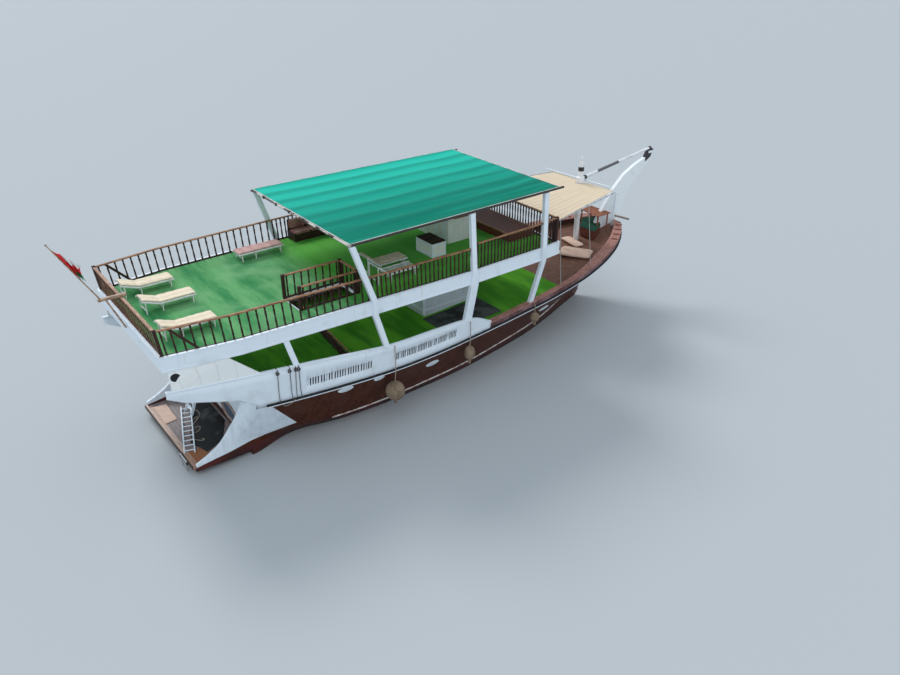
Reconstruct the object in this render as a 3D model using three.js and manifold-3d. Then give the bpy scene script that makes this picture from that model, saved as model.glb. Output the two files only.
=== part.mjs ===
// Motorised passenger dhow, afloat, with its whole hull.
// Millimetres. +X runs toward the bow, +Y to port, +Z up.
// The origin is on the centreline at the waterline, near the middle of the boat's length.

import * as THREE from 'three';
import { mergeVertices } from 'three/addons/utils/BufferGeometryUtils.js';
import Module from 'manifold-3d';

const wasm = await Module();
wasm.setup();

// Driving dimensions of the hull

const SEAT = 0.5;                 // clearance between pieces that rest on each other
const SHEER_LOW = 2220;           // height of the sheer at its lowest point
const SHEER_LOW_X = -4000;
const SHEER_RISE = 0.0058e-3;     // parabola of the sheer, per millimetre
const RUB_DROP = 1770;            // from the sheer down to the rub strake
const DECK_DROP = 100;            // from the sheer down to the main deck
const KEEL_HALF = 90;
const STEM_RAKE = 1.327;          // rise over run of the stem's front edge
const STEM_FOOT_X = 7850;         // where the stem crosses the waterline
const TRANSOM_X = -10100;
const PLATFORM_END_X = -12100;
const PLATFORM_TOP = 280;
const QUARTER_FLARE = 0.45;       // outward lean of the quarter wings

// Sections of the main hull, bow last: half breadths at the sheer and at the rub strake,
// height of the bottom on the centreline, and how full the bottom is (low is full).
const SECTIONS = [
  // x, sheerHalf, rubHalf, bottom, fullness
  [-10100, 3270, 2400, -250, 0.95],
  [-8500, 3420, 2520, -1000, 0.80],
  [-7000, 3540, 2740, -1300, 0.62],
  [-5200, 3650, 2800, -1450, 0.50],
  [-3000, 3630, 2710, -1520, 0.46],
  [-1000, 3500, 2600, -1560, 0.46],
  [1300, 3360, 2310, -1580, 0.52],
  [3800, 3190, 1900, -1540, 0.66],
  [6000, 2870, 1200, -1330, 0.88],
  [7500, 2430, 620, -464, 1.00],
  [8700, 1870, 420, 1128, 1.00],
  [9600, 1220, 330, 2322, 1.00],
  [10250, 520, 190, 3185, 1.00],
].map(([x, sheerHalf, rubHalf, bottom, fullness]) => ({ x, sheerHalf, rubHalf, bottom, fullness }));

// Half breadth of the upper deck along its length.
const UPPER_PLAN = [
  // x, half
  [-12750, 3050],
  [-10350, 3430],
  [-5850, 3620],
  [-1550, 3740],
  [1950, 3660],
  [3150, 3540],
].map(([x, half]) => ({ x, half }));

// Top edge of the white bulwark, from the tip of the stern arm to its pointed end.
const BULWARK_TOP = [
  // x, z
  [-12800, 3920],
  [-10300, 3720],
  [-8900, 3620],
  [-6600, 3400],
  [-5300, 3270],
  [-3000, 3200],
  [-1900, 3120],
  [-1150, 2980],
  [-300, 2560],
].map(([x, z]) => ({ x, z }));

// Lower edge of the stern arm where it runs out over the platform.
const ARM_BOTTOM = [
  // x, z
  [-12800, 3700],
  [-12290, 3400],
  [-11240, 3060],
  [-10560, 2860],
  [-10099, 2450],
].map(([x, z]) => ({ x, z }));

const UPPER_DECK_TOP = 5030;
const UPPER_DECK_THICK = 80;
const FASCIA_TOP = 5060;
const FASCIA_DEPTH = 500;
const FASCIA_THICK = 60;
const TURF_THICK = 18;
const RAIL_HEIGHT = 920;
const AWNING_Z = 7230;

// Colours and finishes

const paint = (color, roughness = 0.55, metalness = 0) =>
  new THREE.MeshStandardMaterial({ color, roughness, metalness });
const WHITE = paint('#dfe3e8');
const HULL_BROWN = paint('#6b4136');
const DARK_WOOD = paint('#3a211a', 0.6);
const PLANK_TAN = paint('#b08a62', 0.7);
const BLACK = paint('#16181a', 0.5);
const TURF = paint('#4fae4c', 0.95);
const AWNING_GREEN = paint('#0aa78f', 0.85);
const CANVAS = paint('#e2d3b0', 0.9);
const STEEL = paint('#9aa0a4', 0.35, 0.9);
const BRONZE = paint('#8c6a34', 0.4, 0.9);
const ROPE = paint('#b9a68c', 0.95);
const FLAG_CLOTH = paint('#c8202c', 0.85);

// Curves along the boat

const lerp = (a, b, t) => a + (b - a) * t;

function along(table, key, x) {
  const last = table.length - 1;
  if (x <= table[0].x) return table[0][key];
  for (let i = 0; i < last; i += 1) {
    const [a, b] = [table[i], table[i + 1]];
    if (x <= b.x) return lerp(a[key], b[key], (x - a.x) / (b.x - a.x));
  }
  return table[last][key];
}

const smoothSheer = (x) => SHEER_LOW + SHEER_RISE * (x - SHEER_LOW_X) ** 2;
const SHEER = SECTIONS.map(({ x }) => ({ x, z: smoothSheer(x) }));
const sheerZ = (x) => (x < TRANSOM_X ? smoothSheer(TRANSOM_X) : along(SHEER, 'z', x));
const deckZ = (x) => sheerZ(x) - DECK_DROP;
const sheerHalf = (x) => (x < TRANSOM_X
  ? lerp(2950, along(SECTIONS, 'sheerHalf', TRANSOM_X), (x + 12800) / (12800 + TRANSOM_X))
  : along(SECTIONS, 'sheerHalf', x));
const upperHalf = (x) => along(UPPER_PLAN, 'half', x);
const bulwarkTop = (x) => along(BULWARK_TOP, 'z', x);

function stopsBetween(x0, x1, ...tables) {
  const inner = tables.flat().map(({ x }) => x).filter((x) => x > x0 + 1 && x < x1 - 1);
  return [...new Set([x0, ...inner, x1])].sort((a, b) => a - b);
}

// Solids

function closedMesh(points, faces) {
  const geometry = new THREE.BufferGeometry();
  geometry.setAttribute('position', new THREE.Float32BufferAttribute(points.flat(), 3));
  geometry.setIndex(faces.flat());
  let volume = 0;
  for (const [a, b, c] of faces) {
    const [p, q, r] = [points[a], points[b], points[c]].map((v) => new THREE.Vector3(...v));
    volume += p.dot(q.cross(r));
  }
  if (volume < 0) geometry.setIndex(faces.map(([a, b, c]) => [a, c, b]).flat());
  return geometry;
}

// A loft through rings of equal count, each end closed by a fan round the ring's middle.
function loft(rings) {
  const count = rings[0].length;
  const points = rings.flat();
  const faces = [];
  for (let i = 0; i < rings.length - 1; i += 1) {
    for (let j = 0; j < count; j += 1) {
      const [a, b] = [i * count + j, i * count + ((j + 1) % count)];
      faces.push([a, b, b + count], [a, b + count, a + count]);
    }
  }
  for (const [ring, start, flip] of [[rings[0], 0, true], [rings.at(-1), (rings.length - 1) * count, false]]) {
    const middle = [0, 1, 2].map((k) => ring.reduce((sum, p) => sum + p[k], 0) / count);
    const centre = points.push(middle) - 1;
    for (let j = 0; j < count; j += 1) {
      const [a, b] = [start + j, start + ((j + 1) % count)];
      faces.push(flip ? [b, a, centre] : [a, b, centre]);
    }
  }
  return closedMesh(points, faces);
}

function toSolid(geometry) {
  const bare = geometry.clone();
  bare.deleteAttribute('normal');
  bare.deleteAttribute('uv');
  const merged = mergeVertices(bare, 1e-4);
  return new wasm.Manifold(new wasm.Mesh({
    numProp: 3,
    vertProperties: new Float32Array(merged.attributes.position.array),
    triVerts: new Uint32Array(merged.index.array),
  }));
}

function toGeometry(solid) {
  const mesh = solid.getMesh();
  const geometry = new THREE.BufferGeometry();
  geometry.setAttribute('position', new THREE.Float32BufferAttribute(mesh.vertProperties, 3));
  geometry.setIndex([...mesh.triVerts]);
  return geometry;
}

const joined = (geometries) => toGeometry(geometries.map(toSolid).reduce((a, b) => a.add(b)));
const cut = (geometry, tools) => toGeometry(tools.map(toSolid).reduce((a, b) => a.subtract(b), toSolid(geometry)));
const within = (geometry, bounds) => toGeometry(toSolid(geometry).intersect(toSolid(bounds)));

function box(x0, x1, y0, y1, z0, z1) {
  const geometry = new THREE.BoxGeometry(x1 - x0, y1 - y0, z1 - z0);
  return geometry.translate((x0 + x1) / 2, (y0 + y1) / 2, (z0 + z1) / 2);
}

// A round bar between two points.
function bar(from, to, radius, sides = 8, endRadius = radius) {
  const [a, b] = [new THREE.Vector3(...from), new THREE.Vector3(...to)];
  const run = b.clone().sub(a);
  const geometry = new THREE.CylinderGeometry(endRadius, radius, run.length(), sides);
  const turn = new THREE.Quaternion().setFromUnitVectors(new THREE.Vector3(0, 1, 0), run.clone().normalize());
  geometry.applyQuaternion(turn);
  return geometry.translate(...a.add(b).multiplyScalar(0.5).toArray());
}

// A plank standing along the boat's side: side is 1 to port and -1 to starboard.
function sidePlank(stops, side, outer, inner, low, high) {
  return loft(stops.map((x) => [
    [x, side * outer(x, low(x)), low(x)],
    [x, side * outer(x, high(x)), high(x)],
    [x, side * inner(x, high(x)), high(x)],
    [x, side * inner(x, low(x)), low(x)],
  ]));
}

// A flat sheet over the breadth of a deck, thickness between low and high.
function deckSheet(stops, half, low, high) {
  return loft(stops.map((x) => [
    [x, -half(x), low(x)], [x, half(x), low(x)], [x, half(x), high(x)], [x, -half(x), high(x)],
  ]));
}

const part = new THREE.Group();
function add(name, geometry, material) {
  const mesh = new THREE.Mesh(geometry, material);
  mesh.name = name;
  part.add(mesh);
}

const SIDES = [['stbd', -1], ['port', 1]];

// Hull: one decked body, with the low stern that carries the platform

const BOTTOM_STEPS = [0.12, 0.35, 0.65];

function hullRing({ x, bottom, fullness, rubHalf }, topHalf, topZ, kneeZ, grow) {
  const side = [[KEEL_HALF, bottom - grow]];
  for (const u of BOTTOM_STEPS) {
    side.push([KEEL_HALF + (rubHalf - KEEL_HALF) * u ** fullness + grow, lerp(bottom, kneeZ, u)]);
  }
  side.push([rubHalf + grow, kneeZ], [topHalf + grow, topZ]);
  const port = side.map(([y, z]) => [x, y, z]);
  const starboard = side.map(([y, z]) => [x, -y, z]).reverse();
  return [...starboard, ...port];
}

const RUB_LEAST = 0.25;
const rubZ = (x) => sheerZ(x) - RUB_DROP;

function hullBody(grow = 0, lift = 0) {
  const rings = SECTIONS.map((s) => {
    const top = deckZ(s.x);
    const knee = Math.max(rubZ(s.x), lerp(s.bottom, top, RUB_LEAST));
    return hullRing(s, s.sheerHalf, top + lift, knee, grow);
  });
  return loft(rings);
}

const STERN_SECTIONS = [
  // x, half at the platform, half low down, bottom, fullness
  [PLATFORM_END_X, 2470, 2330, -60, 0.9],
  [TRANSOM_X + 50, 2400, 2250, -245, 0.95],
].map(([x, topHalf, rubHalf, bottom, fullness]) => ({ x, topHalf, rubHalf, bottom, fullness }));
const sternBody = loft(STERN_SECTIONS.map((s) => hullRing(s, s.topHalf, PLATFORM_TOP, 0, 0)));

// The rub strake is a half-round timber fastened along the planking just above the water.
const RUB_OUT = 55;
const RUB_DEEP = 90;
const RUB_FROM = -8400;
const RUB_TO = 7400;
const rubStops = stopsBetween(RUB_FROM, RUB_TO, SECTIONS);
const rubHalfAt = (x) => along(SECTIONS, 'rubHalf', x);
const rubStrakes = SIDES.map(([, side]) => sidePlank(
  rubStops, side, (x) => rubHalfAt(x) + RUB_OUT, (x) => rubHalfAt(x) - 60,
  (x) => rubZ(x) - RUB_DEEP / 2, (x) => rubZ(x) + RUB_DEEP / 2,
));
add('hull', joined([hullBody(), sternBody, ...rubStrakes]), HULL_BROWN);

// Keel with its deadwood aft, cut through for the propeller, and the shoe that carries the rudder
const STERNPOST_X = -9450;
const SHOE_END_X = -9620;
const KEEL_LOW = -1860;
const KEEL_FORE_X = 6400;
const PROP = { x: -9170, z: -1180, radius: 390, hub: 85, aperture: 165 };
const bottomAt = (x) => along(SECTIONS, 'bottom', x);
const keelStops = stopsBetween(STERNPOST_X, KEEL_FORE_X, SECTIONS);
const keelHalf = KEEL_HALF - 4;
const keelBeam = loft(keelStops.map((x) => {
  const low = x > 6000 ? KEEL_LOW + (x - 6000) * 0.5 : KEEL_LOW;
  const top = bottomAt(x) - SEAT;
  return [[x, -keelHalf, low], [x, keelHalf, low], [x, keelHalf, top], [x, -keelHalf, top]];
}));
const RUDDER_LOW = -1780;
const shoe = box(SHOE_END_X, STERNPOST_X + 20, -keelHalf, keelHalf, KEEL_LOW, RUDDER_LOW - SEAT);
const aperture = box(PROP.x - PROP.aperture, PROP.x + PROP.aperture, -200, 200,
  PROP.z - PROP.radius - 40, PROP.z + PROP.radius + 40);
add('keel', cut(joined([keelBeam, shoe]), [aperture]), HULL_BROWN);

// Stem: the broad raked blade that stands on the centreline and ends in a black head
const STEM_HALF = 85;
const STEM_PROUD = 140;
const STEM_HEAD = { x0: 12380, x1: 12720, z: 6480 };
const stemX = (z) => STEM_FOOT_X + STEM_PROUD + z / STEM_RAKE;
const STEM_SIDE = [
  // x, z: up the front edge to the head, then down the hollow inner edge
  [stemX(-1250), -1250], [stemX(2950), 2950], [10760, 3900], [10980, 4320], [11040, 4530], [11320, 4900],
  [11700, 5240], [12430, 5860], [STEM_HEAD.x1, STEM_HEAD.z],
  [STEM_HEAD.x0, STEM_HEAD.z], [12180, 6130], [11500, 5900], [10760, 5540], [10100, 4960],
  [9300, 3900], [8750, 2900], [5600, -1250],
];
const stemShape = new THREE.Shape(STEM_SIDE.map(([x, z]) => new THREE.Vector2(x, z)));
const stemBlank = new THREE.ExtrudeGeometry(stemShape, { depth: 2 * STEM_HALF, bevelEnabled: false });
stemBlank.rotateX(Math.PI / 2);
stemBlank.translate(0, STEM_HALF, 0);
const stemOutsideHull = cut(stemBlank, [hullBody(SEAT, SEAT), box(4000, 6400 + SEAT, -500, 500, -3000, 3000)]);
add('stem_blade', stemOutsideHull, WHITE);

// Strakes and bulwarks along the sheer

const STRAKE_OUT = 50;
const STRAKE_DEEP = 150;
const STRAKE_LAP = 30;
const STRAKE_FROM = -9760;
const STRAKE_TO = 9990;
const planking = (x, z) => {
  const knee = rubZ(x);
  return lerp(rubHalfAt(x), sheerHalf(x), (z - knee) / (deckZ(x) - knee));
};
const BULWARK_THICK = 80;
const BULWARK_FROM = -12800;
const BULWARK_TO = -300;
const bulwarkOut = (x, z) => sheerHalf(x) + 0.14 * Math.max(0, z - deckZ(x)) - 4;
const bulwarkIn = (x, z) => bulwarkOut(x, z) - BULWARK_THICK;
const bulwarkLow = (x) => (x < TRANSOM_X ? along(ARM_BOTTOM, 'z', x) : deckZ(x) + SEAT);
const bulwarkStops = stopsBetween(BULWARK_FROM, BULWARK_TO, SECTIONS, BULWARK_TOP, ARM_BOTTOM);

// Groups of upright slots through the bulwark: where each group starts, its count and its pitch.
const SLOT_GROUPS = [
  // x, count, pitch
  [-8330, 5, 95], [-7830, 5, 95], [-7330, 5, 95], [-6830, 5, 95], [-6330, 5, 95],
  [-4900, 6, 72], [-4430, 6, 72], [-3960, 6, 72], [-3490, 6, 72], [-3020, 6, 72], [-2550, 6, 72],
];
const SLOT_WIDE = 42;
const SLOT_LOW = 330;
const SLOT_HIGH = 640;
const slotTools = (side) => SLOT_GROUPS.flatMap(([x, count, pitch]) => Array.from({ length: count }, (_, i) => {
  const at = x + i * pitch;
  const [y0, y1] = [side * (sheerHalf(at) - 300), side * (sheerHalf(at) + 300)];
  const low = sheerZ(at) + SLOT_LOW;
  return box(at, at + SLOT_WIDE, Math.min(y0, y1), Math.max(y0, y1), low, low + SLOT_HIGH - SLOT_LOW);
}));

const GUNWALE_FROM = BULWARK_TO + SEAT;
const GUNWALE_TO = 10000;
const GUNWALE_WIDE = 230;
const GUNWALE_RISE = 200;
const gunwaleStops = stopsBetween(GUNWALE_FROM, GUNWALE_TO, SECTIONS);
const strakeStops = stopsBetween(STRAKE_FROM, STRAKE_TO, SECTIONS);
const stemKeepOut = box(9000, 12000, -STEM_HALF - SEAT, STEM_HALF + SEAT, 1500, 5000);
const overDeck = deckSheet(SECTIONS.map(({ x }) => x), (x) => sheerHalf(x) + SEAT,
  (x) => deckZ(x) - SEAT, (x) => deckZ(x) + SEAT);
const strakeKeepOuts = [hullBody(SEAT), overDeck, stemKeepOut];

// The bulwark and gunwale of one side, grown by the seat, to cut whatever is fastened to them.
const GUNWALE_INSET = 4;
const KEEP_OUT_DROP = 20;
const gunwaleIn = (x) => Math.max(STEM_HALF + 10, sheerHalf(x) - GUNWALE_WIDE);
const sideKeepOuts = (side) => [
  sidePlank(bulwarkStops, side, (x, z) => bulwarkOut(x, z) + SEAT, (x, z) => bulwarkIn(x, z) - SEAT,
    (x) => bulwarkLow(x) - KEEP_OUT_DROP, (x) => bulwarkTop(x) + SEAT),
  sidePlank(gunwaleStops, side, (x) => sheerHalf(x) - GUNWALE_INSET + SEAT, (x) => gunwaleIn(x) - SEAT,
    (x) => deckZ(x) - KEEP_OUT_DROP, (x) => sheerZ(x) + GUNWALE_RISE + SEAT),
];
const strakeBlank = (side, grow = 0) => sidePlank(
  strakeStops, side, (x, z) => planking(x, Math.min(z, deckZ(x))) + STRAKE_OUT + grow,
  (x, z) => planking(x, Math.min(z, deckZ(x))) - STRAKE_LAP,
  (x) => sheerZ(x) - STRAKE_DEEP - grow, (x) => sheerZ(x) - 2 + grow,
);

for (const [name, side] of SIDES) {
  const blank = sidePlank(bulwarkStops, side, bulwarkOut, bulwarkIn, bulwarkLow, bulwarkTop);
  add(`bulwark_${name}`, cut(blank, slotTools(side)), WHITE);
  add(`fore_gunwale_${name}`, sidePlank(
    gunwaleStops, side, (x) => sheerHalf(x) - GUNWALE_INSET, gunwaleIn,
    (x) => deckZ(x) + SEAT, (x) => sheerZ(x) + GUNWALE_RISE,
  ), DARK_WOOD);
  add(`sheer_strake_${name}`, cut(strakeBlank(side), [...strakeKeepOuts, ...sideKeepOuts(side)]), BLACK);
}

// Quarter wings: the white sides that rise in a hollow curve from the platform to the transom

const WING_THICK = 110;
const WING_TOP = [
  // x, z
  [-12100, 520], [-11690, 850], [-11250, 1330], [-11040, 1820], [-10840, 2330], [-10560, 2880], [-10104, 2470],
].map(([x, z]) => ({ x, z }));
const WING_BEND = 2250;         // height where the wing's flare ends
const WING_BEND_SHARE = 0.97;   // the bend's height on a wing lower than that
const ARM_MARGIN = 30;          // what a wing clears of the arm's faces
const wingOut = (x, z) => along([{ x: PLATFORM_END_X, y: 2470 }, { x: TRANSOM_X, y: 2410 }], 'y', x)
  + QUARTER_FLARE * (Math.min(z, WING_BEND) - PLATFORM_TOP);
for (const [name, side] of SIDES) {
  const wing = loft(WING_TOP.map(({ x, z }) => {
    const heights = [PLATFORM_TOP + SEAT, lerp(PLATFORM_TOP, Math.min(z, WING_BEND), WING_BEND_SHARE), z];
    const outer = heights.map((at) => [x, side * wingOut(x, at), at]);
    const inner = heights.map((at) => [x, side * (wingOut(x, at) - WING_THICK), at]).reverse();
    return [...outer, ...inner];
  }));
  const arm = sidePlank(bulwarkStops, side, (x, z) => bulwarkOut(x, z) + ARM_MARGIN,
    (x, z) => bulwarkIn(x, z) - ARM_MARGIN, (x) => bulwarkLow(x) - SEAT, (x) => bulwarkTop(x) + SEAT);
  add(`quarter_wing_${name}`, cut(wing, [arm]), WHITE);
}

// Swim platform of planks between the wings, with its rail timber across the stern
const PLATFORM_THICK = 45;
const platformHalf = (x) => wingOut(x, PLATFORM_TOP) - WING_THICK - 3;
const platformTopZ = PLATFORM_TOP + SEAT + PLATFORM_THICK;
const SWIM = {
  y: -1700, half: 210, x: -12280, hinge: platformTopZ + 110, foot: -900, rungs: 5, pitch: 265, pin: 90, pinRadius: 22,
};
const swimLug = (s) => {
  const [y0, y1] = [SWIM.y + s * (SWIM.half + 32), SWIM.y + s * (SWIM.half + SWIM.pin - 5)];
  return box(SWIM.x - 25, PLATFORM_END_X - 90, Math.min(y0, y1), Math.max(y0, y1), PLATFORM_TOP + 20,
    SWIM.hinge - SWIM.pinRadius - SEAT);
};
add('swim_platform', joined([
  swimLug(-1),
  swimLug(1),
  deckSheet([PLATFORM_END_X - 60, TRANSOM_X - 4], platformHalf, () => PLATFORM_TOP + SEAT, () => platformTopZ),
  box(PLATFORM_END_X - 120, PLATFORM_END_X - 20, -2330, 2330, PLATFORM_TOP + SEAT, platformTopZ + 70),
]), PLANK_TAN);

// Steep stair from the platform up to the main deck
const STAIR_Y = 900;
const STERN_LADDER = { low: [-11150, platformTopZ + SEAT], high: [-10320, 2420], half: 260, rungs: 8 };
function inclinedLadder({ low, high, half, rungs }, y, deep, thick, treadDeep) {
  const [xa, za] = low;
  const [xb, zb] = high;
  const rail = (at) => loft([[xa, za], [xb, zb]].map(([x, z]) => [
    [x, at - thick / 2, z], [x, at + thick / 2, z], [x + deep, at + thick / 2, z], [x + deep, at - thick / 2, z],
  ]));
  const pieces = [rail(y - half), rail(y + half)];
  for (let i = 1; i <= rungs; i += 1) {
    const t = i / (rungs + 1);
    const [x, z] = [lerp(xa, xb, t), lerp(za, zb, t)];
    pieces.push(box(x + deep / 2 - treadDeep / 2, x + deep / 2 + treadDeep / 2, y - half, y + half, z - 15, z + 15));
  }
  return joined(pieces);
}
add('stern_ladder', inclinedLadder(STERN_LADDER, STAIR_Y, 110, 40, 90), WHITE);

// Swim ladder, hinged on the platform's after edge and standing in the water
const swimBar = (y0, y1, z, radius) => bar([SWIM.x, y0, z], [SWIM.x, y1, z], radius);
const swimPieces = [-1, 1].map((s) => bar([SWIM.x, SWIM.y + s * SWIM.half, SWIM.foot],
  [SWIM.x, SWIM.y + s * SWIM.half, SWIM.hinge + 10], 18));
for (let i = 0; i < SWIM.rungs; i += 1) {
  swimPieces.push(swimBar(SWIM.y - SWIM.half, SWIM.y + SWIM.half, SWIM.foot + 60 + i * SWIM.pitch, 15));
}
swimPieces.push(swimBar(SWIM.y - SWIM.half - SWIM.pin, SWIM.y + SWIM.half + SWIM.pin, SWIM.hinge, SWIM.pinRadius));
add('swim_ladder', joined(swimPieces), STEEL);

// Rudder: a plate on its stock, from the shoe up to the hull's counter
const RUDDER = { x: STERNPOST_X - 70, top: -590, long: 860, half: 42, stock: 45, stockTop: -548 };
const rudderPlate = loft([[RUDDER_LOW + 10, 0], [RUDDER.top - 60, 140]].map(([z, less]) => [
  [RUDDER.x, -RUDDER.half, z], [RUDDER.x - RUDDER.long + less, -14, z],
  [RUDDER.x - RUDDER.long + less, 14, z], [RUDDER.x, RUDDER.half, z],
]));
const rudderStock = bar([RUDDER.x, 0, RUDDER_LOW], [RUDDER.x, 0, RUDDER.stockTop], RUDDER.stock, 12);
add('rudder', joined([rudderPlate, rudderStock]), HULL_BROWN);

// Propeller: four twisted blades on a hub, turning in the aperture
const PROP_HUB_LONG = 200;
const BLADES = 4;
const propPieces = [bar([PROP.x + PROP_HUB_LONG / 2, 0, PROP.z], [PROP.x - PROP_HUB_LONG / 2, 0, PROP.z],
  PROP.hub, 16, PROP.hub * 0.55),
bar([PROP.x, 0, PROP.z], [PROP.x + PROP.aperture - SEAT, 0, PROP.z], 38, 12)];
const BLADE_ROWS = [
  // radius share, half chord, pitch angle in degrees
  [0.12, 70, 62], [0.45, 120, 42], [0.8, 125, 28], [1.0, 60, 22],
];
for (let i = 0; i < BLADES; i += 1) {
  const blade = loft(BLADE_ROWS.map(([share, chord, pitch]) => {
    const r = share * PROP.radius;
    const [c, s] = [Math.cos(THREE.MathUtils.degToRad(pitch)), Math.sin(THREE.MathUtils.degToRad(pitch))];
    return [[-chord, -4], [0, -12], [chord, -4], [chord, 4], [0, 12], [-chord, 4]]
      .map(([u, w]) => [s * u - c * w, c * u + s * w, r]);
  }));
  blade.rotateX((i * 2 * Math.PI) / BLADES);
  blade.translate(PROP.x, 0, PROP.z);
  propPieces.push(blade);
}
add('propeller', joined(propPieces), BRONZE);

// Main deck: green turf laid over the planks under the upper deck
const MAIN_TURF_FROM = -9950;
const MAIN_TURF_TO = 4200;
const turfStops = stopsBetween(MAIN_TURF_FROM, MAIN_TURF_TO, SECTIONS);
const mainTurfTop = (x) => deckZ(x) + SEAT + TURF_THICK;
add('main_deck_turf', deckSheet(turfStops, (x) => sheerHalf(x) - GUNWALE_WIDE - 30,
  (x) => deckZ(x) + SEAT, mainTurfTop), TURF);

// Upper deck: four planked panels on their beams round the stair well, under green turf.
// The after and forward panels carry the fascia board across their end.

const SLAB_FROM = UPPER_PLAN[0].x + FASCIA_THICK - 5;
const SLAB_TO = UPPER_PLAN.at(-1).x - FASCIA_THICK + 5;
const slabHalf = (x) => upperHalf(x) - FASCIA_THICK - SEAT;
const slabStops = stopsBetween(SLAB_FROM, SLAB_TO, UPPER_PLAN);
const STAIR_WELL = { x0: -7900, x1: -5750, y0: -2650, y1: -1600 };
const slabLow = UPPER_DECK_TOP - UPPER_DECK_THICK;
const BEAM_DEEP = 130;
const BEAM_WIDE = 90;
const STRINGER_DEEP = 85;
const STRINGER_WIDE = 80;
const BEAM_XS = [-12500, -11300, -10100, -8900, -8080, -5500, -4300, -3100, -2000, 1100, 2000, 2900];
const STRINGER_YS = [-2900, -1350, 1350, 2900];
const deckFrame = [
  ...BEAM_XS.map((x) => box(x - BEAM_WIDE / 2, x + BEAM_WIDE / 2, -slabHalf(x) + 40, slabHalf(x) - 40,
    slabLow - BEAM_DEEP, slabLow + 5)),
  ...STRINGER_YS.map((y) => box(BEAM_XS[0], BEAM_XS.at(-1), y - STRINGER_WIDE / 2, y + STRINGER_WIDE / 2,
    slabLow - STRINGER_DEEP, slabLow + 5)),
  ...[UPPER_PLAN[0].x, UPPER_PLAN.at(-1).x - FASCIA_THICK].map((x) => {
    const half = Math.min(upperHalf(x), upperHalf(x + FASCIA_THICK)) - FASCIA_THICK - SEAT - 3;
    return box(x, x + FASCIA_THICK, -half, half, FASCIA_TOP - FASCIA_DEPTH, FASCIA_TOP);
  }),
];
const wholeDeck = joined([deckSheet(slabStops, slabHalf, () => slabLow, () => UPPER_DECK_TOP), ...deckFrame]);
const DECK_REACH = 14000;
const DECK_PANELS = [
  // name, x from, x to, y from, y to
  ['upper_deck_aft', -DECK_REACH, STAIR_WELL.x0, -DECK_REACH, DECK_REACH],
  ['upper_deck_fore', STAIR_WELL.x1, DECK_REACH, -DECK_REACH, DECK_REACH],
  ['upper_deck_port', STAIR_WELL.x0 + SEAT, STAIR_WELL.x1 - SEAT, STAIR_WELL.y1, DECK_REACH],
  ['upper_deck_stbd', STAIR_WELL.x0 + SEAT, STAIR_WELL.x1 - SEAT, -DECK_REACH, STAIR_WELL.y0],
];
for (const [name, x0, x1, y0, y1] of DECK_PANELS) {
  add(name, within(wholeDeck, box(x0, x1, y0, y1, 0, DECK_REACH)), WHITE);
}

const upperTurfTop = UPPER_DECK_TOP + SEAT + TURF_THICK;
const RAIL_BASE_WIDE = 125;
const turfHole = box(STAIR_WELL.x0 - 60, STAIR_WELL.x1 + 60, STAIR_WELL.y0 - 60, STAIR_WELL.y1 + 60, 4000, 6000);
add('upper_deck_turf', cut(
  deckSheet([SLAB_FROM + RAIL_BASE_WIDE, ...slabStops.slice(1, -1), SLAB_TO - RAIL_BASE_WIDE],
    (x) => slabHalf(x) - RAIL_BASE_WIDE, () => UPPER_DECK_TOP + SEAT, () => upperTurfTop),
  [turfHole],
), TURF);

// Fascia boards with the white posts fastened to them: from the bulwark up to the awning pipes

const POSTS = [
  // x at the foot, at the deck and at the top; width along the boat below and above the deck; foot height
  { foot: -5280, deck: -5640, top: -6330, wideLow: 200, wideHigh: 200 },
  { foot: -1600, deck: -1420, top: -1290, wideLow: 340, wideHigh: 210 },
  { foot: 2010, deck: 2150, top: 2400, wideLow: 200, wideHigh: 210 },
];
const SHORT_POST = { foot: -8640, deck: -8900, wide: 190 };
const POST_THICK = 150;
const POST_OUT = 110;
const AWNING_HALF = { aft: 3550, fore: 3365 };
const AWNING_FROM = -6420;
const AWNING_TO = 3080;
const PIPE = 45;
const awningHalf = (x) => lerp(AWNING_HALF.aft, AWNING_HALF.fore, (x - AWNING_FROM) / (AWNING_TO - AWNING_FROM));
const postTopZ = AWNING_Z - PIPE - SEAT;
const POST_LAP = 60;
const POST_CLEAR = 4;
const rise = (x) => (x > BULWARK_TO ? sheerZ(x) + GUNWALE_RISE : bulwarkTop(x)) - POST_LAP;
function post({ foot, deck, top, wideLow, wideHigh }, side, grow = 0) {
  const outFoot = (x) => (x > BULWARK_TO ? sheerHalf(x) - 30 : bulwarkOut(x, rise(x)) + 20);
  const rows = [
    [foot, rise(foot), outFoot(foot), wideLow],
    [deck, FASCIA_TOP - FASCIA_DEPTH, upperHalf(deck) + POST_OUT, wideLow],
    [deck, FASCIA_TOP, upperHalf(deck) + POST_OUT, wideHigh],
    [top, postTopZ, awningHalf(top) + POST_THICK / 2, wideHigh],
  ];
  return loft(rows.map(([x, z, y, wide]) => [
    [x - wide / 2 - grow, side * y, z], [x + wide / 2 + grow, side * y, z],
    [x + wide / 2 + grow, side * (y - POST_THICK - grow), z],
    [x - wide / 2 - grow, side * (y - POST_THICK - grow), z],
  ]));
}
const fasciaStops = stopsBetween(UPPER_PLAN[0].x, UPPER_PLAN.at(-1).x, UPPER_PLAN);
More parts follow.
